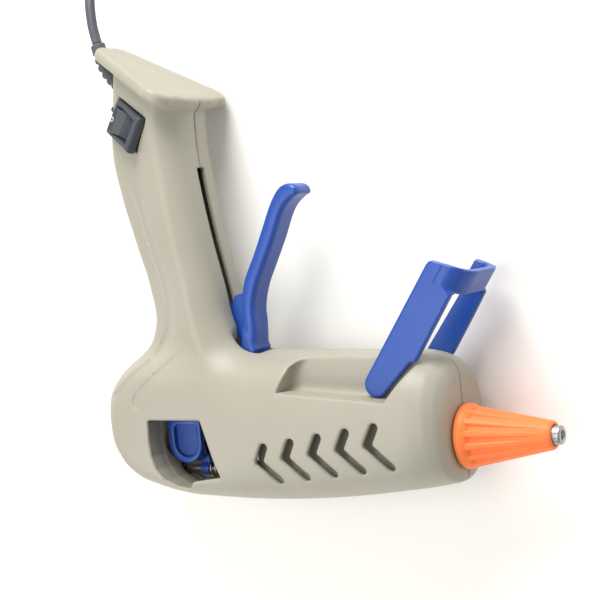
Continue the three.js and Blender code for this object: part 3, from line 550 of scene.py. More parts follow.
plug = plug_body()
PIN_SHAPE = [(78.6, 0.01), (78.6, PIN_R), (103.2, PIN_R), (104.2, 1.7), (104.9, 1.0), (105, 0.01)]
for side, node in ((1, "plug_pin_left"), (-1, "plug_pin_right")):
    verts, faces = lathe(PIN_SHAPE, 32)
    verts = verts + (0, PLUG_Y + side * PIN_APART, PLUG_Z)
    add_piece(node + "_round", verts, faces, BRASS, "housing", "brass", [node])


def tie_band():
    low = TABLE_Z + COIL_LIFT
    y0, y1 = COIL_AT[1] - 32.2, COIL_AT[1] - 17.2
    grid = Grid((15.8, y0 - 1.8, low - 2.0), (24.2, y1 + 1.8, low + 15.2), 0.35)
    x, y, z = grid.x - COIL_AT[0], grid.y, grid.z
    outer = smax(np.abs(y - (y0 + y1) / 2) - (y1 - y0) / 2 - 0.8, np.abs(z - low - 6.3) - 7.35, 3)
    f = smax(np.abs(outer + 0.5) - 0.45, np.abs(x) - 3.4, 0.5)
    return add_solid("tie_band", f, grid, BLACK, "housing", "black", ["cord_tie"])


tie = tie_band()
RELIEF = [(15, 139.6, 0), (9.6, 145, 0), (4.6, 150.2, 0), (1.2, 156, 0), (-0.9, 163, 0)]
RELIEF_RIBS = 9


def relief_piece():
    path = smooth_path(RELIEF, 0.3)
    t = np.linspace(0, 1, len(path))
    rib = np.clip(np.cos(2 * np.pi * t * RELIEF_RIBS) * 3, -1, 1) * 0.5 + 0.5
    inside = np.clip((t - 0.2) / 0.04, 0, 1) * np.clip((0.93 - t) / 0.03, 0, 1)
    radius = 4.05 - 1.05 * t - 0.75 * (1 - rib) * inside
    radius[0] -= 0.3
    radius[-1] -= 0.2
    verts, faces = sweep(path, radius, 32)
    add_piece("relief_sleeve", verts, faces, RUBBER, "housing", "rubber", ["strain_relief"])


relief_piece()

# ---------------------------------------------------------------- casing
WALL = 2.2
REAR_X, NOSE_X = -4.6, 149.8
BARREL = np.array([  # x, top y, bottom y, half width, exponent
    [-4.6, 2, 17, 8, 2.4], [-3.2, -3.6, 22.5, 12.5, 2.6], [1, -9.6, 28, 17, 2.8],
    [8, -14.6, 32, 19.6, 3.2], [18, -17.8, 34.6, 20.8, 3.5], [30, -20.6, 35, 21.6, 3.4],
    [48, -22.2, 35, 22.8, 3.0], [62, -23, 35, 23.7, 2.7], [76, -23.2, 34.6, 24, 2.5],
    [100, -22.2, 33.6, 24, 2.5], [124, -19.9, 32.6, 23.8, 2.5], [141, -17.8, 31, 23.2, 2.4],
    [145.5, -17.1, 29.2, 21.6, 2.35], [148.6, -16.4, 26.4, 18.8, 2.3], [149.8, -15.8, 24.4, 16.5, 2.2],
])
HANDLE = np.array([  # y, rear x, front x, half width at the ridge
    [18, -2, 62, 19.6], [28, 3, 62, 19.6], [38, 12.4, 58.5, 19.2], [48, 17, 55, 18.6], [62, 16, 52.3, 18],
    [80, 11.3, 48.6, 17.5], [100, 6.2, 45.4, 17], [118, 3.6, 43.6, 16.6], [134, 5.6, 44.2, 16.8],
    [150, 8, 48, 18], [168, 10, 52, 19],
])
HANDLE_FROM = 18  # the handle starts inside the barrel
HANDLE_REAR_HALF, HANDLE_FRONT_HALF, RIDGE_BACK = 5.5, 11, 10  # half widths, and the ridge behind the front
BARREL_TO_HANDLE, BODY_TO_FOOT = 8, 2.6
SIDE_Z, SIDE_SLOPE, SIDE_NORMAL = 23.1, 0.11, 1.006  # the flat of the side, rising towards the nozzle
FOOT_TILT = math.radians(31.5)
FOOT_AT = (22.0, 150.9)
FOOT_THICK = 5.2
FOOT_HALF = [(-21, 9), (21, 24), (27, 24), (30.5, 8)]
FOOT_ROUND = 7
FOOT_U = np.array([math.cos(FOOT_TILT), -math.sin(FOOT_TILT), 0])
FOOT_N = np.array([math.sin(FOOT_TILT), math.cos(FOOT_TILT), 0])
SWITCH_AT = np.array([18.3, 127.6, 10.8])
SWITCH_LEAN = math.radians(25)
SWITCH_U = FOOT_U * math.cos(SWITCH_LEAN) + np.array([0, 0, math.sin(SWITCH_LEAN)])
SWITCH_W = -FOOT_U * math.sin(SWITCH_LEAN) + np.array([0, 0, math.cos(SWITCH_LEAN)])
LENS_AT, LENS_R = (-14.0, 1.5), 1.3
PIVOT = (122.5, 21.5)
POCKET = [(83.4, 20.4), (129.5, 15.8), (150, 42), (101.4, 42), (101.4, 37.4), (93.6, 34.6), (86.6, 29.2)]
WINDOW = [(20.2, 9.6), (19.8, 2), (20.2, -4), (22, -9), (25.4, -13.2), (30, -15.8), (35, -16.4),
          (38.6, -13.4), (52.4, -11.4), (46.2, 9.6)]
SLOT = [(35, 108.2), (35, 34), (62, 30), (60, 60), (52, 108.2)]
SLOT_HALF = 2.35
MOUTH = [(56, 29), (68, 29), (68.6, 36.5), (72.6, 43), (60, 48), (56, 48)]
MOUTH_HALF = 6.8
TRIGGER_PIN, LINK_PIN = (60, 27), (56, 6)
SCREWS = [(5.5, 21), (32, 60), (24, 98), (74, -17), (137.5, -13), (140.5, 20.5)]
HEAD_Z = 13.0
ROD_Y = -12.0
ROD_RIBS = (15, 66)
ROUND_RIBS = ((7, 7.4, 20), (88, 10.4, 14), (129, 10.4, 14))  # x, radius held, lower edge
VENTS, VENT_AT, VENT_STEP, VENT_GROWTH, VENT_HALF = 5, 76.5, (12.1, 1.75), 0.04, 1.65
BAFFLE = ((70, -15, 16.4), (134, 9.4, 17.6))  # behind the vents
ROD_SHELF = ((13, -24, 3.8), (54, -9.8, 5))  # on the right half, behind the window's lower edge
CORD_BORES = (((17, 137.6, 0), (3.4, 151.4, 0), 4.5), ((4.2, 150.4, 0), (-1.4, 165, 0), 4.4))
BAND = [(13.1, 112), (17.5, 99), (22.2, 81), (27.2, 65), (28.8, 54.4), (27.3, 46), (19.3, 34), (8.6, 25.3),
        (-1.7, 17.8)]
PANEL = [(37.7, 39), (27.3, 30.3), (14.6, 20.8), (13, 18.6), (13.2, 16.4), (15.4, 14.9)]
STEP_LIP = 0.9
CREASE = [(-17.2, 61.3), (13.9, 55.6), (22.9, 53.4), (35.6, 47.4), (57.6, 41.9)]


def on_axes(at, axes, x, y, z):
    """Distances from a point along each of the axes."""
    return [(x - at[0]) * a[0] + (y - at[1]) * a[1] + (z - at[2]) * a[2] for a in axes]


def barrel_field(x, y, z):
    top, bottom, half, n = (curve(BARREL[:, 0], BARREL[:, k], x) for k in (1, 2, 3, 4))
    middle, tall = (top + bottom) / 2, (bottom - top) / 2
    u, v = np.abs(y - middle) / tall, np.abs(z) / half
    level = np.maximum((u ** n + v ** n) ** (1 / n), 1e-3)
    slope = np.sqrt(((u / level) ** (n - 1) / tall) ** 2 + ((v / level) ** (n - 1) / half) ** 2)
    f = (level - 1) / np.maximum(slope, 1e-3)
    return smax(smax(f, REAR_X - x, 3.5), x - NOSE_X, 2.2)


def handle_field(x, y, z):
    rear, front, half = (curve(HANDLE[:, 0], HANDLE[:, k], y) for k in (1, 2, 3))
    z = np.abs(z)
    ridge = front - RIDGE_BACK
    a, b = half - HANDLE_REAR_HALF, ridge - rear
    side = ((x - rear) * -a + (z - HANDLE_REAR_HALF) * b) / np.hypot(a, b)
    c = half - HANDLE_FRONT_HALF
    nose = ((x - front) * c + (z - HANDLE_FRONT_HALF) * RIDGE_BACK) / np.hypot(c, RIDGE_BACK)
    f = smax(smax(smax(side, rear - x, 5), nose, 2.6), x - front, 7)
    return np.maximum(f, HANDLE_FROM - y)


def foot_field(x, y, z):
    u, depth = on_axes((*FOOT_AT, 0), (FOOT_U, -FOOT_N), x, y, z)
    corners = FOOT_HALF + [(a, -b) for a, b in reversed(FOOT_HALF)]
    outline = polygon(inset(corners, FOOT_ROUND), u, np.abs(z)) - FOOT_ROUND
    return smax(outline, np.abs(depth - FOOT_THICK / 2) - FOOT_THICK / 2, 2.4)


def pressed_step(points, deep, run, fades, x, y):
    """How far the side is pressed in along a line: at once behind it, running out slowly in front of it."""
    away = polyline(points, x, y)
    line = sorted((py, px) for px, py in points)
    ahead = x - np.interp(y, [py for py, _ in line], [px for _, px in line])
    amount = deep * np.where(ahead > 0, np.clip(1 - away / run, 0, 1), np.clip(1 - away / STEP_LIP, 0, 1))
    for (fade_x, fade_y), length in fades:
        amount = amount * np.clip(np.hypot(x - fade_x, y - fade_y) / length, 0, 1)
    return amount[:, :, None]


def casing_posts(x, y, z):
    """The baffle, posts for the screws and the trigger's pin, ribs for the rod, the guide and the chamber."""
    posts = block(*BAFFLE, x, y, z)
    for sx, sy in SCREWS:
        posts = np.minimum(posts, np.hypot(x - sx, y - sy) - 3.6)
    pin = np.hypot(x - TRIGGER_PIN[0], y - TRIGGER_PIN[1])
    posts = np.minimum(posts, np.maximum(pin - 3.4, 10.3 - z))
    for rx in ROD_RIBS:
        rib = block((rx, -30, 0), (rx + 2.4, ROD_Y + 3.4, 20), x, y, z)
        posts = np.minimum(posts, np.maximum(rib, 1.8 - np.hypot(y - ROD_Y, z)))
    for rx, hold, bottom in ROUND_RIBS:
        rib = block((rx, -24, 0), (rx + 2, bottom, 24), x, y, z)
        clear = np.maximum(hold - np.hypot(y, z), -np.maximum(z - hold, 3 - y))
        posts = np.minimum(posts, np.maximum(rib, clear))
    return posts


def vent_field(x, y):
    """The angled vents, each a little larger than the one behind it."""
    vents = np.full(np.broadcast(x, y).shape, 99.0)
    for n in range(VENTS):
        vx, vy, k = VENT_AT + VENT_STEP[0] * n, VENT_STEP[1] * n, 1 + VENT_GROWTH * n
        path = [(vx, vy), (vx - 3 * k, vy - 5.6 * k), (vx + 3.9 * k, vy - 12.6 * k)]
        vents = smin(vents, polyline(path, x, y) - VENT_HALF, 0.8)
    return vents[:, :, None]


def casing_mesh(side):
    """One half of the casing; side is 1 for the left, -1 for the right, both made with Z upwards."""
    grid = Grid((-6, -24.6, -0.6), (151.2, 163.4, 25.2), 0.6)
    x, y, z = grid.x, grid.y, grid.z
    flat_x, flat_y = x[:, :, 0], y[:, :, 0]

    def column(outline):
        return polygon(outline, flat_x, flat_y)[:, :, None]

    body = smin(barrel_field(x, y, z), handle_field(x, y, z), BARREL_TO_HANDLE)
    ahead = flat_x - np.interp(flat_y, *zip(*CREASE))
    body = smax(body, (z - (SIDE_Z + SIDE_SLOPE * ahead[:, :, None])) / SIDE_NORMAL, 1.4)
    # bring the field back to a distance, so that the wall has an even thickness
    slope = np.sqrt(sum(g * g for g in np.gradient(body, grid.step)))
    body = body / np.clip(slope, 0.6, 1.6)
    depth = on_axes((*FOOT_AT, 0), (FOOT_N,), x, y, z)[0]
    outer = smin(np.maximum(body, depth + 1), foot_field(x, y, z), BODY_TO_FOOT)
    pressed = pressed_step(BAND, 0.9, 7, [((13.1, 112), 14), ((-1.7, 17.8), 6)], flat_x, flat_y)
    pressed = pressed + pressed_step(PANEL, 0.8, 6, [((37.7, 39), 8)], flat_x, flat_y)

    pocket_side = column(POCKET)
    pocket_floor = 11 - 0.012 * (flat_y - 25)[:, :, None] ** 2
    pocket = smax(pocket_side, pocket_floor - z, 3.2)
    cavity = smax(body + WALL, depth + FOOT_THICK - 0.6, 1.5)
    cavity = np.maximum(cavity, WALL - np.maximum(pocket_side, 11 - z))
    f = smax(outer + pressed, -cavity, 0.3)

    f = np.minimum(f, np.maximum(casing_posts(x, y, z), outer + 1))
    if side < 0:
        f = np.minimum(f, np.maximum(block(*ROD_SHELF, x, y, z), outer + 1))
    frame2 = column(WINDOW) - 0.7
    wall = np.maximum(np.maximum(np.abs(frame2 - 0.9) - 0.9, 0.2 - z), np.maximum(x - 38, y - 10.3))
    wall = np.maximum(np.maximum(wall, 7.2 - np.hypot(y, z)), 2.4 - np.hypot(y - ROD_Y, z))
    f = np.minimum(f, np.maximum(wall, outer + 0.6))

    # openings
    f = smax(f, -np.maximum(frame2, 10 - z), 1.5)
    f = smax(f, -np.maximum(vent_field(flat_x, flat_y), BAFFLE[1][2] - z), 0.9)
    f = smax(f, -pocket, 0.9)
    f = smax(f, -np.maximum(column(SLOT), z - SLOT_HALF), 0.5)
    f = smax(f, -np.maximum(column(MOUTH), z - MOUTH_HALF), 0.5)
    around = np.hypot(y, z)
    f = smax(f, -np.maximum(around - 9, 140 - x), 0.9)
    f = smax(f, -np.maximum(around - 7.4, x - 2), 1.2)
    for a, b, r in CORD_BORES:
        f = smax(f, -rod(a, b, r, x, y, z), 0.5)
    f = np.maximum(f, 2.2 - np.hypot(x - PIVOT[0], y - PIVOT[1]))
    for sx, sy in SCREWS:
        away = np.hypot(x - sx, y - sy)
        if side > 0:
            f = np.maximum(f, -np.maximum(away - 1.6, z - 10.8))
        else:
            f = np.maximum(f, 1.8 - away)
            f = smax(f, -np.maximum(away - 3.2, HEAD_Z - z), 0.5)
    pin = np.hypot(x - TRIGGER_PIN[0], y - TRIGGER_PIN[1])
    f = np.maximum(f, -np.maximum(pin - 1.85, z - 14.2))
    if side > 0:
        u, v, w = on_axes(SWITCH_AT, (SWITCH_U, FOOT_N, SWITCH_W), x, y, z)
        seat = np.maximum(np.maximum(np.abs(u) - 11.1, np.abs(v) - 8.1), -1.2 - w)
        f = smax(f, -seat, 0.7)
        f = np.maximum(f, -np.maximum(np.abs(u) - 9.8, np.abs(v) - 6.8))
        hole = np.maximum(np.hypot(u - LENS_AT[0], v - LENS_AT[1]) - LENS_R - 0.15, -6 - w)
        f = smax(f, -hole, 0.3)
    # the halves stop just short of the parting plane, which leaves the fine seam
    f = smax(f, 0.13 - z, 0.3)
    verts, faces = net(f, grid)
    if side < 0:
        verts = verts * (1, 1, -1)
        faces = faces[:, ::-1]
    return verts, faces


for side, word in ((1, "left"), (-1, "right")):
    verts, faces = casing_mesh(side)
    decimate(add_piece(f"casing_{word}", verts, faces, CASE, "housing", "case", [f"{word}_shell"]), 0.34)


# ---------------------------------------------------------------- trigger
def trigger_piece():
    blade = [(64.8, 30), (66, 44), (66.2, 52), (68.6, 60), (73.6, 69.2), (78.2, 77.6), (83.6, 88.2),
             (88.6, 92.8), (91.4, 94.2), (90.2, 97.4), (86, 98.4), (82, 96.6), (77.8, 91), (73, 81.6),
             (68.2, 72.4), (62.8, 62.6), (60.6, 54), (60.2, 44), (60.2, 30)]
    blade = smooth_path([(a, b, 0) for a, b in blade[:-1]], 1.5)[:, :2].tolist() + [list(blade[-1])]
    grid = Grid((50, 2, -10.4), (92.5, 99.5, 10.4), 0.5)
    x, y, z = grid.x, grid.y, grid.z
    fx, fy = x[:, :, 0], y[:, :, 0]
    a = np.abs(z)
    f = smax(polygon(blade, fx, fy)[:, :, None], a - 6, 2.6)
    lever = polygon([(56.8, 26), (63.2, 26), (65.6, 36), (60.4, 44), (58.4, 35)], fx, fy)[:, :, None]
    f = smin(f, smax(lever, a - 6, 1), 1)
    web = polygon([(61, 58), (55.4, 57), (53.4, 53), (51.4, 46), (56.8, 38), (61, 38)], fx, fy)[:, :, None]
    f = smin(f, smax(web, a - 1.7, 0.8), 1.2)
    hub = np.hypot(x - TRIGGER_PIN[0], y - TRIGGER_PIN[1])
    f = smin(f, smax(hub - 3.3, a - 9.8, 0.6), 0.8)
    ear = polygon([(52.9, 6), (59.1, 6), (63, 24), (61, 30), (57.4, 29)], fx, fy)[:, :, None]
    pin = np.hypot(x - LINK_PIN[0], y - LINK_PIN[1])
    ear = smin(ear, pin - 3.1, 1)
    f = smin(f, smax(ear, np.abs(a - 7.6) - 1, 0.5), 0.6)
    f = np.maximum(f, 1.9 - hub)
    f = np.maximum(f, 1.7 - pin)
    add_solid("trigger_lever", f, grid, BLUE, "trigger", "blue", ["trigger"])


trigger_piece()


# ---------------------------------------------------------------- stand
LEG_ANGLE = math.radians(54)
LEG_IN, LEG_OUT = 11.5, 14.7
WEB_IN, WEB_OUT = 7.9, 11.0
WEB_FROM, WEB_TO = 45.4, 51.2
WEB_RISE, WEB_SLANT = 0.27, 0.965
BEND_NEAR, BEND_FAR, BEND_LEG = 9.6, 7.4, 1.0  # radii of the bends at the web, and of the legs' edges
BEND_FROM, BEND_RUN = 43.5, 3


def stand_piece():
    """Two legs and a cross web; along runs up a leg from the pivot, across towards the nozzle."""
    grid = Grid((116.5, 15.5, -15.4), (165.5, 68.5, 15.4), 0.4)
    x, y, z, a = grid.x, grid.y, grid.z, np.abs(grid.z)
    dx, dy = x - PIVOT[0], y - PIVOT[1]
    along = dx * math.cos(LEG_ANGLE) + dy * math.sin(LEG_ANGLE)
    across = dx * math.sin(LEG_ANGLE) - dy * math.cos(LEG_ANGLE)
    turn = np.linspace(math.pi / 2, 1.5 * math.pi, 13)
    end = [(4.7 * math.cos(t), 4.7 * math.sin(t)) for t in turn]
    right = end + [(7, -5), (13, 1.2), (48.2, 2.3), (49.8, 2.6), (50.8, 2.6), (56, 10.8), (45, 10.2),
                   (16.8, 11.2), (15, 7.6)]
    left = end + [(49.4, -5), (50.8, -4.6), (51.6, -3.6), (56, 11.4), (46, 11.2), (45.6, 9.3), (44.8, 8.8),
                  (18, 9.2), (16.6, 9.1), (15.9, 8.6), (15, 7.6)]
    legs = np.where(z > 0, polygon(left, along, across), polygon(right, along, across))
    f = smax(legs, np.abs(a - (LEG_IN + LEG_OUT) / 2) - (LEG_OUT - LEG_IN) / 2, 0.9)

    def corner(across_edge, z_edge, radius):
        u, v = across - (across_edge - radius), a - (z_edge - radius)
        return np.hypot(np.maximum(u, 0), np.maximum(v, 0)) + np.minimum(np.maximum(u, v), 0) - radius

    # the legs turn into the web round a wide bend, which dies away down the leg
    share = np.clip((along - BEND_FROM) / BEND_RUN, 0, 1)
    share = share * share * (3 - 2 * share)
    bend = np.where(z > 0, BEND_NEAR, BEND_FAR)
    outer = corner(WEB_OUT, LEG_OUT, BEND_LEG + (bend - BEND_LEG) * share)
    inner = corner(WEB_IN, LEG_IN, bend - (WEB_OUT - WEB_IN))
    f = smax(f, outer, 0.4)
    top = (along - WEB_TO - (across + 5) * WEB_RISE) * WEB_SLANT
    web = smax(smax(outer, -inner, 0.5), smax(WEB_FROM - along, top, 0.6), 0.9)
    web = np.maximum(web, 1 - across)
    f = smin(f, web, 0.6)
    f = np.maximum(f, -np.maximum(np.hypot(dx, dy) - 2.2, a - 14))
    add_solid("stand_frame", f, grid, BLUE, "stand", "blue", ["stand"])


stand_piece()


# ---------------------------------------------------------------- nozzle and its cover
FLUTES, FLUTE_DEEP = 14, 1.15
COVER_REAR = [(150.1, 11.0), (150.5, 11.7), (151.2, 12.0), (152.6, 12.0), (153.5, 11.8), (154.0, 11.3)]
COVER_FRONT = [(184.7, 5.0), (185.0, 4.6)]
COVER_BORE = [(185.0, 3.9), (180.0, 3.9), (180.0, 4.7), (158.0, 8.6), (150.1, 8.6)]
TUBE = [(139.8, 4.8), (139.8, 6.2), (140.1, 6.4), (147, 6.4), (147, 7.8), (147.3, 8), (157, 8), (179, 4.2),
        (179, 3.5), (186.9, 3.5), (187.4, 3.42), (187.8, 3.2), (TIP_X, 2.8), (TIP_X, 2.15), (187.7, 1.85),
        (186.5, 1.5), (170, 1.5), (168, 2.9), (158.5, 2.9), (156, 4.8)]


def flute(x, r, turn):
    """The radius round the cover at x: grooves that start under the collar and run out at the front."""
    if r < 4.65 or x < 153.9 or (x, r) in COVER_BORE:
        return np.full(len(turn), float(r))
    phase = np.abs(((turn * FLUTES / (2 * np.pi)) % 1) - 0.5) * 2
    groove = np.clip((0.62 - phase) / 0.16, 0, 1)
    groove = groove * groove * (3 - 2 * groove)
    start = np.clip((x - 154.2) / 1.4, 0, 1)
    end = np.clip((182.5 - x) / 26, 0, 1)
    return r - FLUTE_DEEP * groove * start * start * (3 - 2 * start) * end


cone = [(x, 11.25 - (x - 154) * (11.25 - 5.15) / 31) for x in np.linspace(154.4, 184.2, 60)]
verts, faces = lathe(COVER_REAR + cone + COVER_FRONT + COVER_BORE, FLUTES * 16, flute)
add_piece("cover_sleeve", verts, faces, ORANGE, "housing", "orange", ["nozzle_cover"])
add_piece("nozzle_tube", *lathe(TUBE, 64), TIP_STEEL, "housing", "steel", ["nozzle"])


# ---------------------------------------------------------------- switch
# u runs along the handle's width, v towards the foot, w out of the casing
BEZEL = (10.6, 7.6)
BEZEL_LOW, BEZEL_TOP, BEZEL_BEVEL = -1.1, 2.9, 1.6
BODY = (9.5, 6.5)
WELL = (7.95, 5.4)
WELL_FLOOR = -4.4
PADDLE = [(-7.6, -1.2), (-3.4, -3.4), (3.4, -3.4), (7.6, -2.6), (7.6, 0.3), (4.5, 0.2), (1.5, 0.7),
          (-0.8, 1.9), (-2.6, 3.5), (-3.6, 4.4), (-6.3, 4.6), (-6.8, 4.0), (-7.5, 1.0)]
RING_AT, RING_R, RING_W = -5.3, 0.9, 4.6
BAR_AT, BAR_HALF, BAR_W = 4.6, 1.2, 0.24
DOME = [(-6, 0.02), (-6, LENS_R), (-1.2, LENS_R), (-0.8, 1.22), (-0.45, 0.95), (-0.25, 0.55), (-0.2, 0.02)]
DOME_W = 1.6


def on_handle(verts):
    return SWITCH_AT + verts @ np.stack([SWITCH_U, FOOT_N, SWITCH_W])


def switch_pieces():
    grid = Grid((-11, -8, -11.6), (11, 8, 3.4), 0.28)
    u, v, w = np.abs(grid.x), np.abs(grid.y), grid.z
    bevel = np.maximum(w - BEZEL_BEVEL, 0) * 0.5
    bezel = smax(smax(u - BEZEL[0] + bevel, v - BEZEL[1] + bevel, 0.8),
                 np.maximum(BEZEL_LOW - w, w - BEZEL_TOP), 0.7)
    body = smax(smax(u - BODY[0], v - BODY[1], 1), np.maximum(-11 - w, w - 1.4), 0.4)
    f = smin(bezel, body, 0.2)
    f = smax(f, -np.maximum(np.maximum(u - WELL[0], v - WELL[1]), WELL_FLOOR - w), 0.5)
    f = np.maximum(f, -np.maximum(np.maximum(u - 8.9, v - WELL[1]), np.maximum(WELL_FLOOR - w, w - 0.6)))
    add_solid("switch_case", f, grid, BLACK, "housing", "black", ["switch_body"], place=on_handle)

    grid = Grid((-8.4, -5.6, -4), (8.4, 5.6, 5.6), 0.22)
    f = smax(polygon(PADDLE, grid.x, grid.z), np.abs(grid.y) - 5.1, 0.6)
    add_solid("switch_paddle", f, grid, ROCKER, "rocker", "black", ["switch_rocker"], place=on_handle)

    # a raised ring and bar, the usual off and on marks
    turn = np.linspace(0, 2 * np.pi, 32, endpoint=False)
    ring = np.stack([RING_AT + RING_R * np.cos(turn), RING_R * np.sin(turn), RING_W - 0.06 * np.cos(turn)], 1)
    verts, faces = sweep(np.vstack([ring, ring[:2]]), 0.16, 8)
    add_piece("mark_off", on_handle(verts), faces, MARK, "rocker", "black")
    verts, faces = sweep([(BAR_AT, v, BAR_W) for v in (-BAR_HALF, 0, BAR_HALF)], 0.14, 8)
    add_piece("mark_on", on_handle(verts), faces, MARK, "rocker", "black")

    verts, faces = lathe(DOME, 32)
    verts = verts[:, [1, 2, 0]] + (*LENS_AT, DOME_W)
    add_piece("lamp_lens", on_handle(verts), faces, LENS, "housing", "black", ["indicator_lens"])


switch_pieces()


# ---------------------------------------------------------------- feed
STICK_R = 6.0
CARRIAGE_PIN = (35.6, 12.6)
JAW_PIN = (29.4, 13.6)
CARRIAGE_X, CARRIAGE_HALF = 29.4, 8.4
SPRING_FROM, SPRING_TO = 35.8, 65.6
BALL_SPRING_FROM, BALL_SPRING_TO = 163.5, 168
ROD = [(14.4, 0.02), (14.4, 1.3), (14.7, 1.5), (68.7, 1.5), (69, 1.3), (69, 0.02)]
INLET = [(1.6, 6.6), (1.9, 7.1), (5.2, 7.1), (5.2, 8.6), (5.4, 8.8), (6.4, 8.8), (6.6, 8.6), (6.6, 7.1),
         (14.1, 7.1), (14.4, 6.9), (14.4, 6.0), (2.6, 6.0), (1.8, 6.3)]


def u_shape(fx, fy, middle, bottom, half):
    """A U standing open towards +Y: a half circle with straight sides above it."""
    return np.where(fy < bottom, np.hypot(fx - middle, fy - bottom) - half, np.abs(fx - middle) - half)


def carriage_piece():
    grid = Grid((20.8, -15.6, -9), (38, 17.4, 9), 0.35)
    x, y, z = grid.x, grid.y, grid.z
    a = np.abs(z)
    fx, fy = x[:, :, 0], y[:, :, 0]
    rod_away = np.hypot(y - ROD_Y, z)
    shape = smax(u_shape(fx, fy, CARRIAGE_X, -0.5, 8), fy - 12, 1.2)[:, :, None]
    f = smax(shape, a - CARRIAGE_HALF, 0.9)
    boss = smax(rod_away - 2.6, np.abs(x - 33.4) - 2, 0.6)
    boss = smin(boss, smax(np.maximum(np.abs(x - 33.4) - 2, a - 1.3), np.abs(y + 9) - 3, 0.4), 0.6)
    pin = np.hypot(x - CARRIAGE_PIN[0], y - CARRIAGE_PIN[1])
    f = smin(f, smax(pin - 3.2, np.abs(a - 7.2) - 1.2, 0.5), 0.8)
    f = smin(f, boss, 1.0)
    ear = polygon([(25.4, 11), (33.4, 11), (32.2, 16.8), (26.6, 16.8)], fx, fy)[:, :, None]
    f = smin(f, smax(ear, np.abs(a - 4.4) - 1, 0.4), 0.4)
    hollow = smax(u_shape(fx, fy, 29.8, -0.4, 5.5), fy - 7, 2.4)[:, :, None]
    f = smax(f, -np.maximum(hollow, 6.4 - a), 0.7)
    f = smax(f, STICK_R - np.hypot(y, z), 0.5)
    f = np.maximum(f, 1.9 - rod_away)
    f = np.maximum(f, -np.maximum(np.maximum(np.abs(x - 29.3) - 4.3, 3 - y), a - 3.5))
    f = np.maximum(f, -np.maximum(pin - 1.8, 6.9 - a))
    f = np.maximum(f, 1.3 - np.hypot(x - JAW_PIN[0], y - JAW_PIN[1]))
    add_solid("carriage_block", f, grid, BLUE, "carriage", "blue", ["feed_carriage"])


def spring_piece(name, node, span, y, radius, wire_r, turns):
    """A coil spring along X, with its turns closer at the ends."""
    start, end = span
    t = np.linspace(0, 1, int(turns * 40) + 1)
    angle = 2 * np.pi * turns * t
    ease = t - 0.06 * np.sin(2 * np.pi * t)
    path = np.stack([start + wire_r + (end - start - 2 * wire_r) * ease,
                     y + radius * np.cos(angle), radius * np.sin(angle)], 1)
    spring = add_piece(name, *sweep(path, wire_r, 10), STEEL, "housing", "steel", [node])
    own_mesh(spring)


carriage_piece()
spring_piece("feed_spring", "return_spring", (SPRING_FROM, SPRING_TO), ROD_Y, 2.9, 0.45, 9)
spring_piece("ball_spring", "check_spring", (BALL_SPRING_FROM, BALL_SPRING_TO), 0, 2.05, 0.25, 4)
verts, faces = lathe(ROD, 40)
add_piece("feed_rod", verts + (0, ROD_Y, 0), faces, STEEL, "housing", "steel", ["guide_rod"])
add_piece("inlet_tube", *lathe(INLET, 64), CASE, "housing", "case", ["inlet_guide"])


# ---------------------------------------------------------------- screws
SCREW_CROWN, SCREW_UNDER, SCREW_END = -15.3, -13.3, -11.4
HEAD_R, SHANK_R = 2.8, 1.35
CROSS_LONG, CROSS_WIDE, CROSS_FLOOR = 2, 0.42, -14.1


def screw_piece(n, sx, sy):
    """A pan head with a cross recess, on the right side, and the start of its shank."""
    grid = Grid((-3.2, -3.2, -15.8), (3.2, 3.2, -11), 0.2)
    x, y, z = grid.x, grid.y, grid.z
    away = np.hypot(x, y)
    crown = SCREW_CROWN + 0.096 * away ** 2
    f = smax(smax(away - HEAD_R, crown - z, 0.5), z - SCREW_UNDER, 0.2)
    cross = np.minimum(np.maximum(np.abs(x) - CROSS_LONG, np.abs(y) - CROSS_WIDE),
                       np.maximum(np.abs(y) - CROSS_LONG, np.abs(x) - CROSS_WIDE))
    f = smax(f, -np.maximum(cross + 0.25 * (z - SCREW_CROWN), z - CROSS_FLOOR), 0.15)
    f = np.minimum(f, np.maximum(away - SHANK_R, np.maximum(SCREW_UNDER - 0.3 - z, z - SCREW_END)))
    add_solid(f"screw_head_{n}", f, grid, STEEL, "housing", "steel", [f"case_screw_{n}"],
              place=lambda verts: verts + (sx, sy, 0))


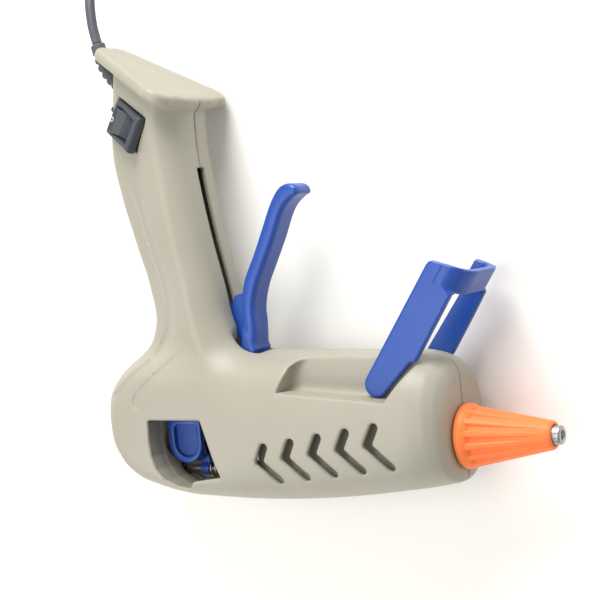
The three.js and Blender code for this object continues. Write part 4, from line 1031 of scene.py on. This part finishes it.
for n, (sx, sy) in enumerate(SCREWS, 1):
    screw_piece(n, sx, sy)


# ---------------------------------------------------------------- CAD nodes that stay
for node, obj in frame["nodes"].items():
    obj.data.materials.clear()
    obj.data.materials.append(SLOTS[SLOT_OF[node]])


# ---------------------------------------------------------------- floor and light
LAMP_COLOR = (1.0, 0.995, 0.98)
SKY_COLOR, SKY_STRENGTH = (1.0, 0.99, 0.97, 1), 0.53
FLOOR_HALF = 3.0
FLOOR_GAP = 0.15


def floor():
    mesh = bpy.data.meshes.new("floor")
    z = float(world((0, 0, TABLE_Z - FLOOR_GAP))[2])
    corners = [(x * FLOOR_HALF, y * FLOOR_HALF, z) for x, y in ((-1, -1), (1, -1), (1, 1), (-1, 1))]
    mesh.from_pydata(corners, [], [(0, 1, 2, 3)])
    paper = surface("paper", 0xFAF9F5, 0xF6F5F0, roughness=0.85, mottle=3, grain=120, bump=0.02)
    mesh.materials.append(paper)
    plane = bpy.data.objects.new("floor", mesh)
    bpy.context.scene.collection.objects.link(plane)


floor()


def light(name, at, aim, size, power):
    data = bpy.data.lights.new(name, "AREA")
    data.shape, data.size, data.energy, data.color = "DISK", size, power, LAMP_COLOR
    lamp = bpy.data.objects.new(name, data)
    lamp.location = at
    lamp.rotation_euler = (Vector(aim) - Vector(at)).to_track_quat("-Z", "Y").to_euler()
    bpy.context.scene.collection.objects.link(lamp)


light("window", at=(0.0, 0.78, 0.42), aim=(-0.05, 0.05, 0.02), size=0.55, power=9.5)
light("room", at=(-0.5, -0.6, 0.6), aim=(-0.02, 0, 0.02), size=0.8, power=4.5)
light("ceiling", at=(-0.25, 0, 1.2), aim=(0, 0, 0.02), size=0.9, power=4.4)
sky = bpy.data.worlds.new("sky")
sky.use_nodes = True
background = sky.node_tree.nodes["Background"]
background.inputs["Color"].default_value = SKY_COLOR
background.inputs["Strength"].default_value = SKY_STRENGTH
bpy.context.scene.world = sky
bpy.context.scene.view_settings.view_transform = "Standard"
bpy.context.scene.view_settings.look = "None"
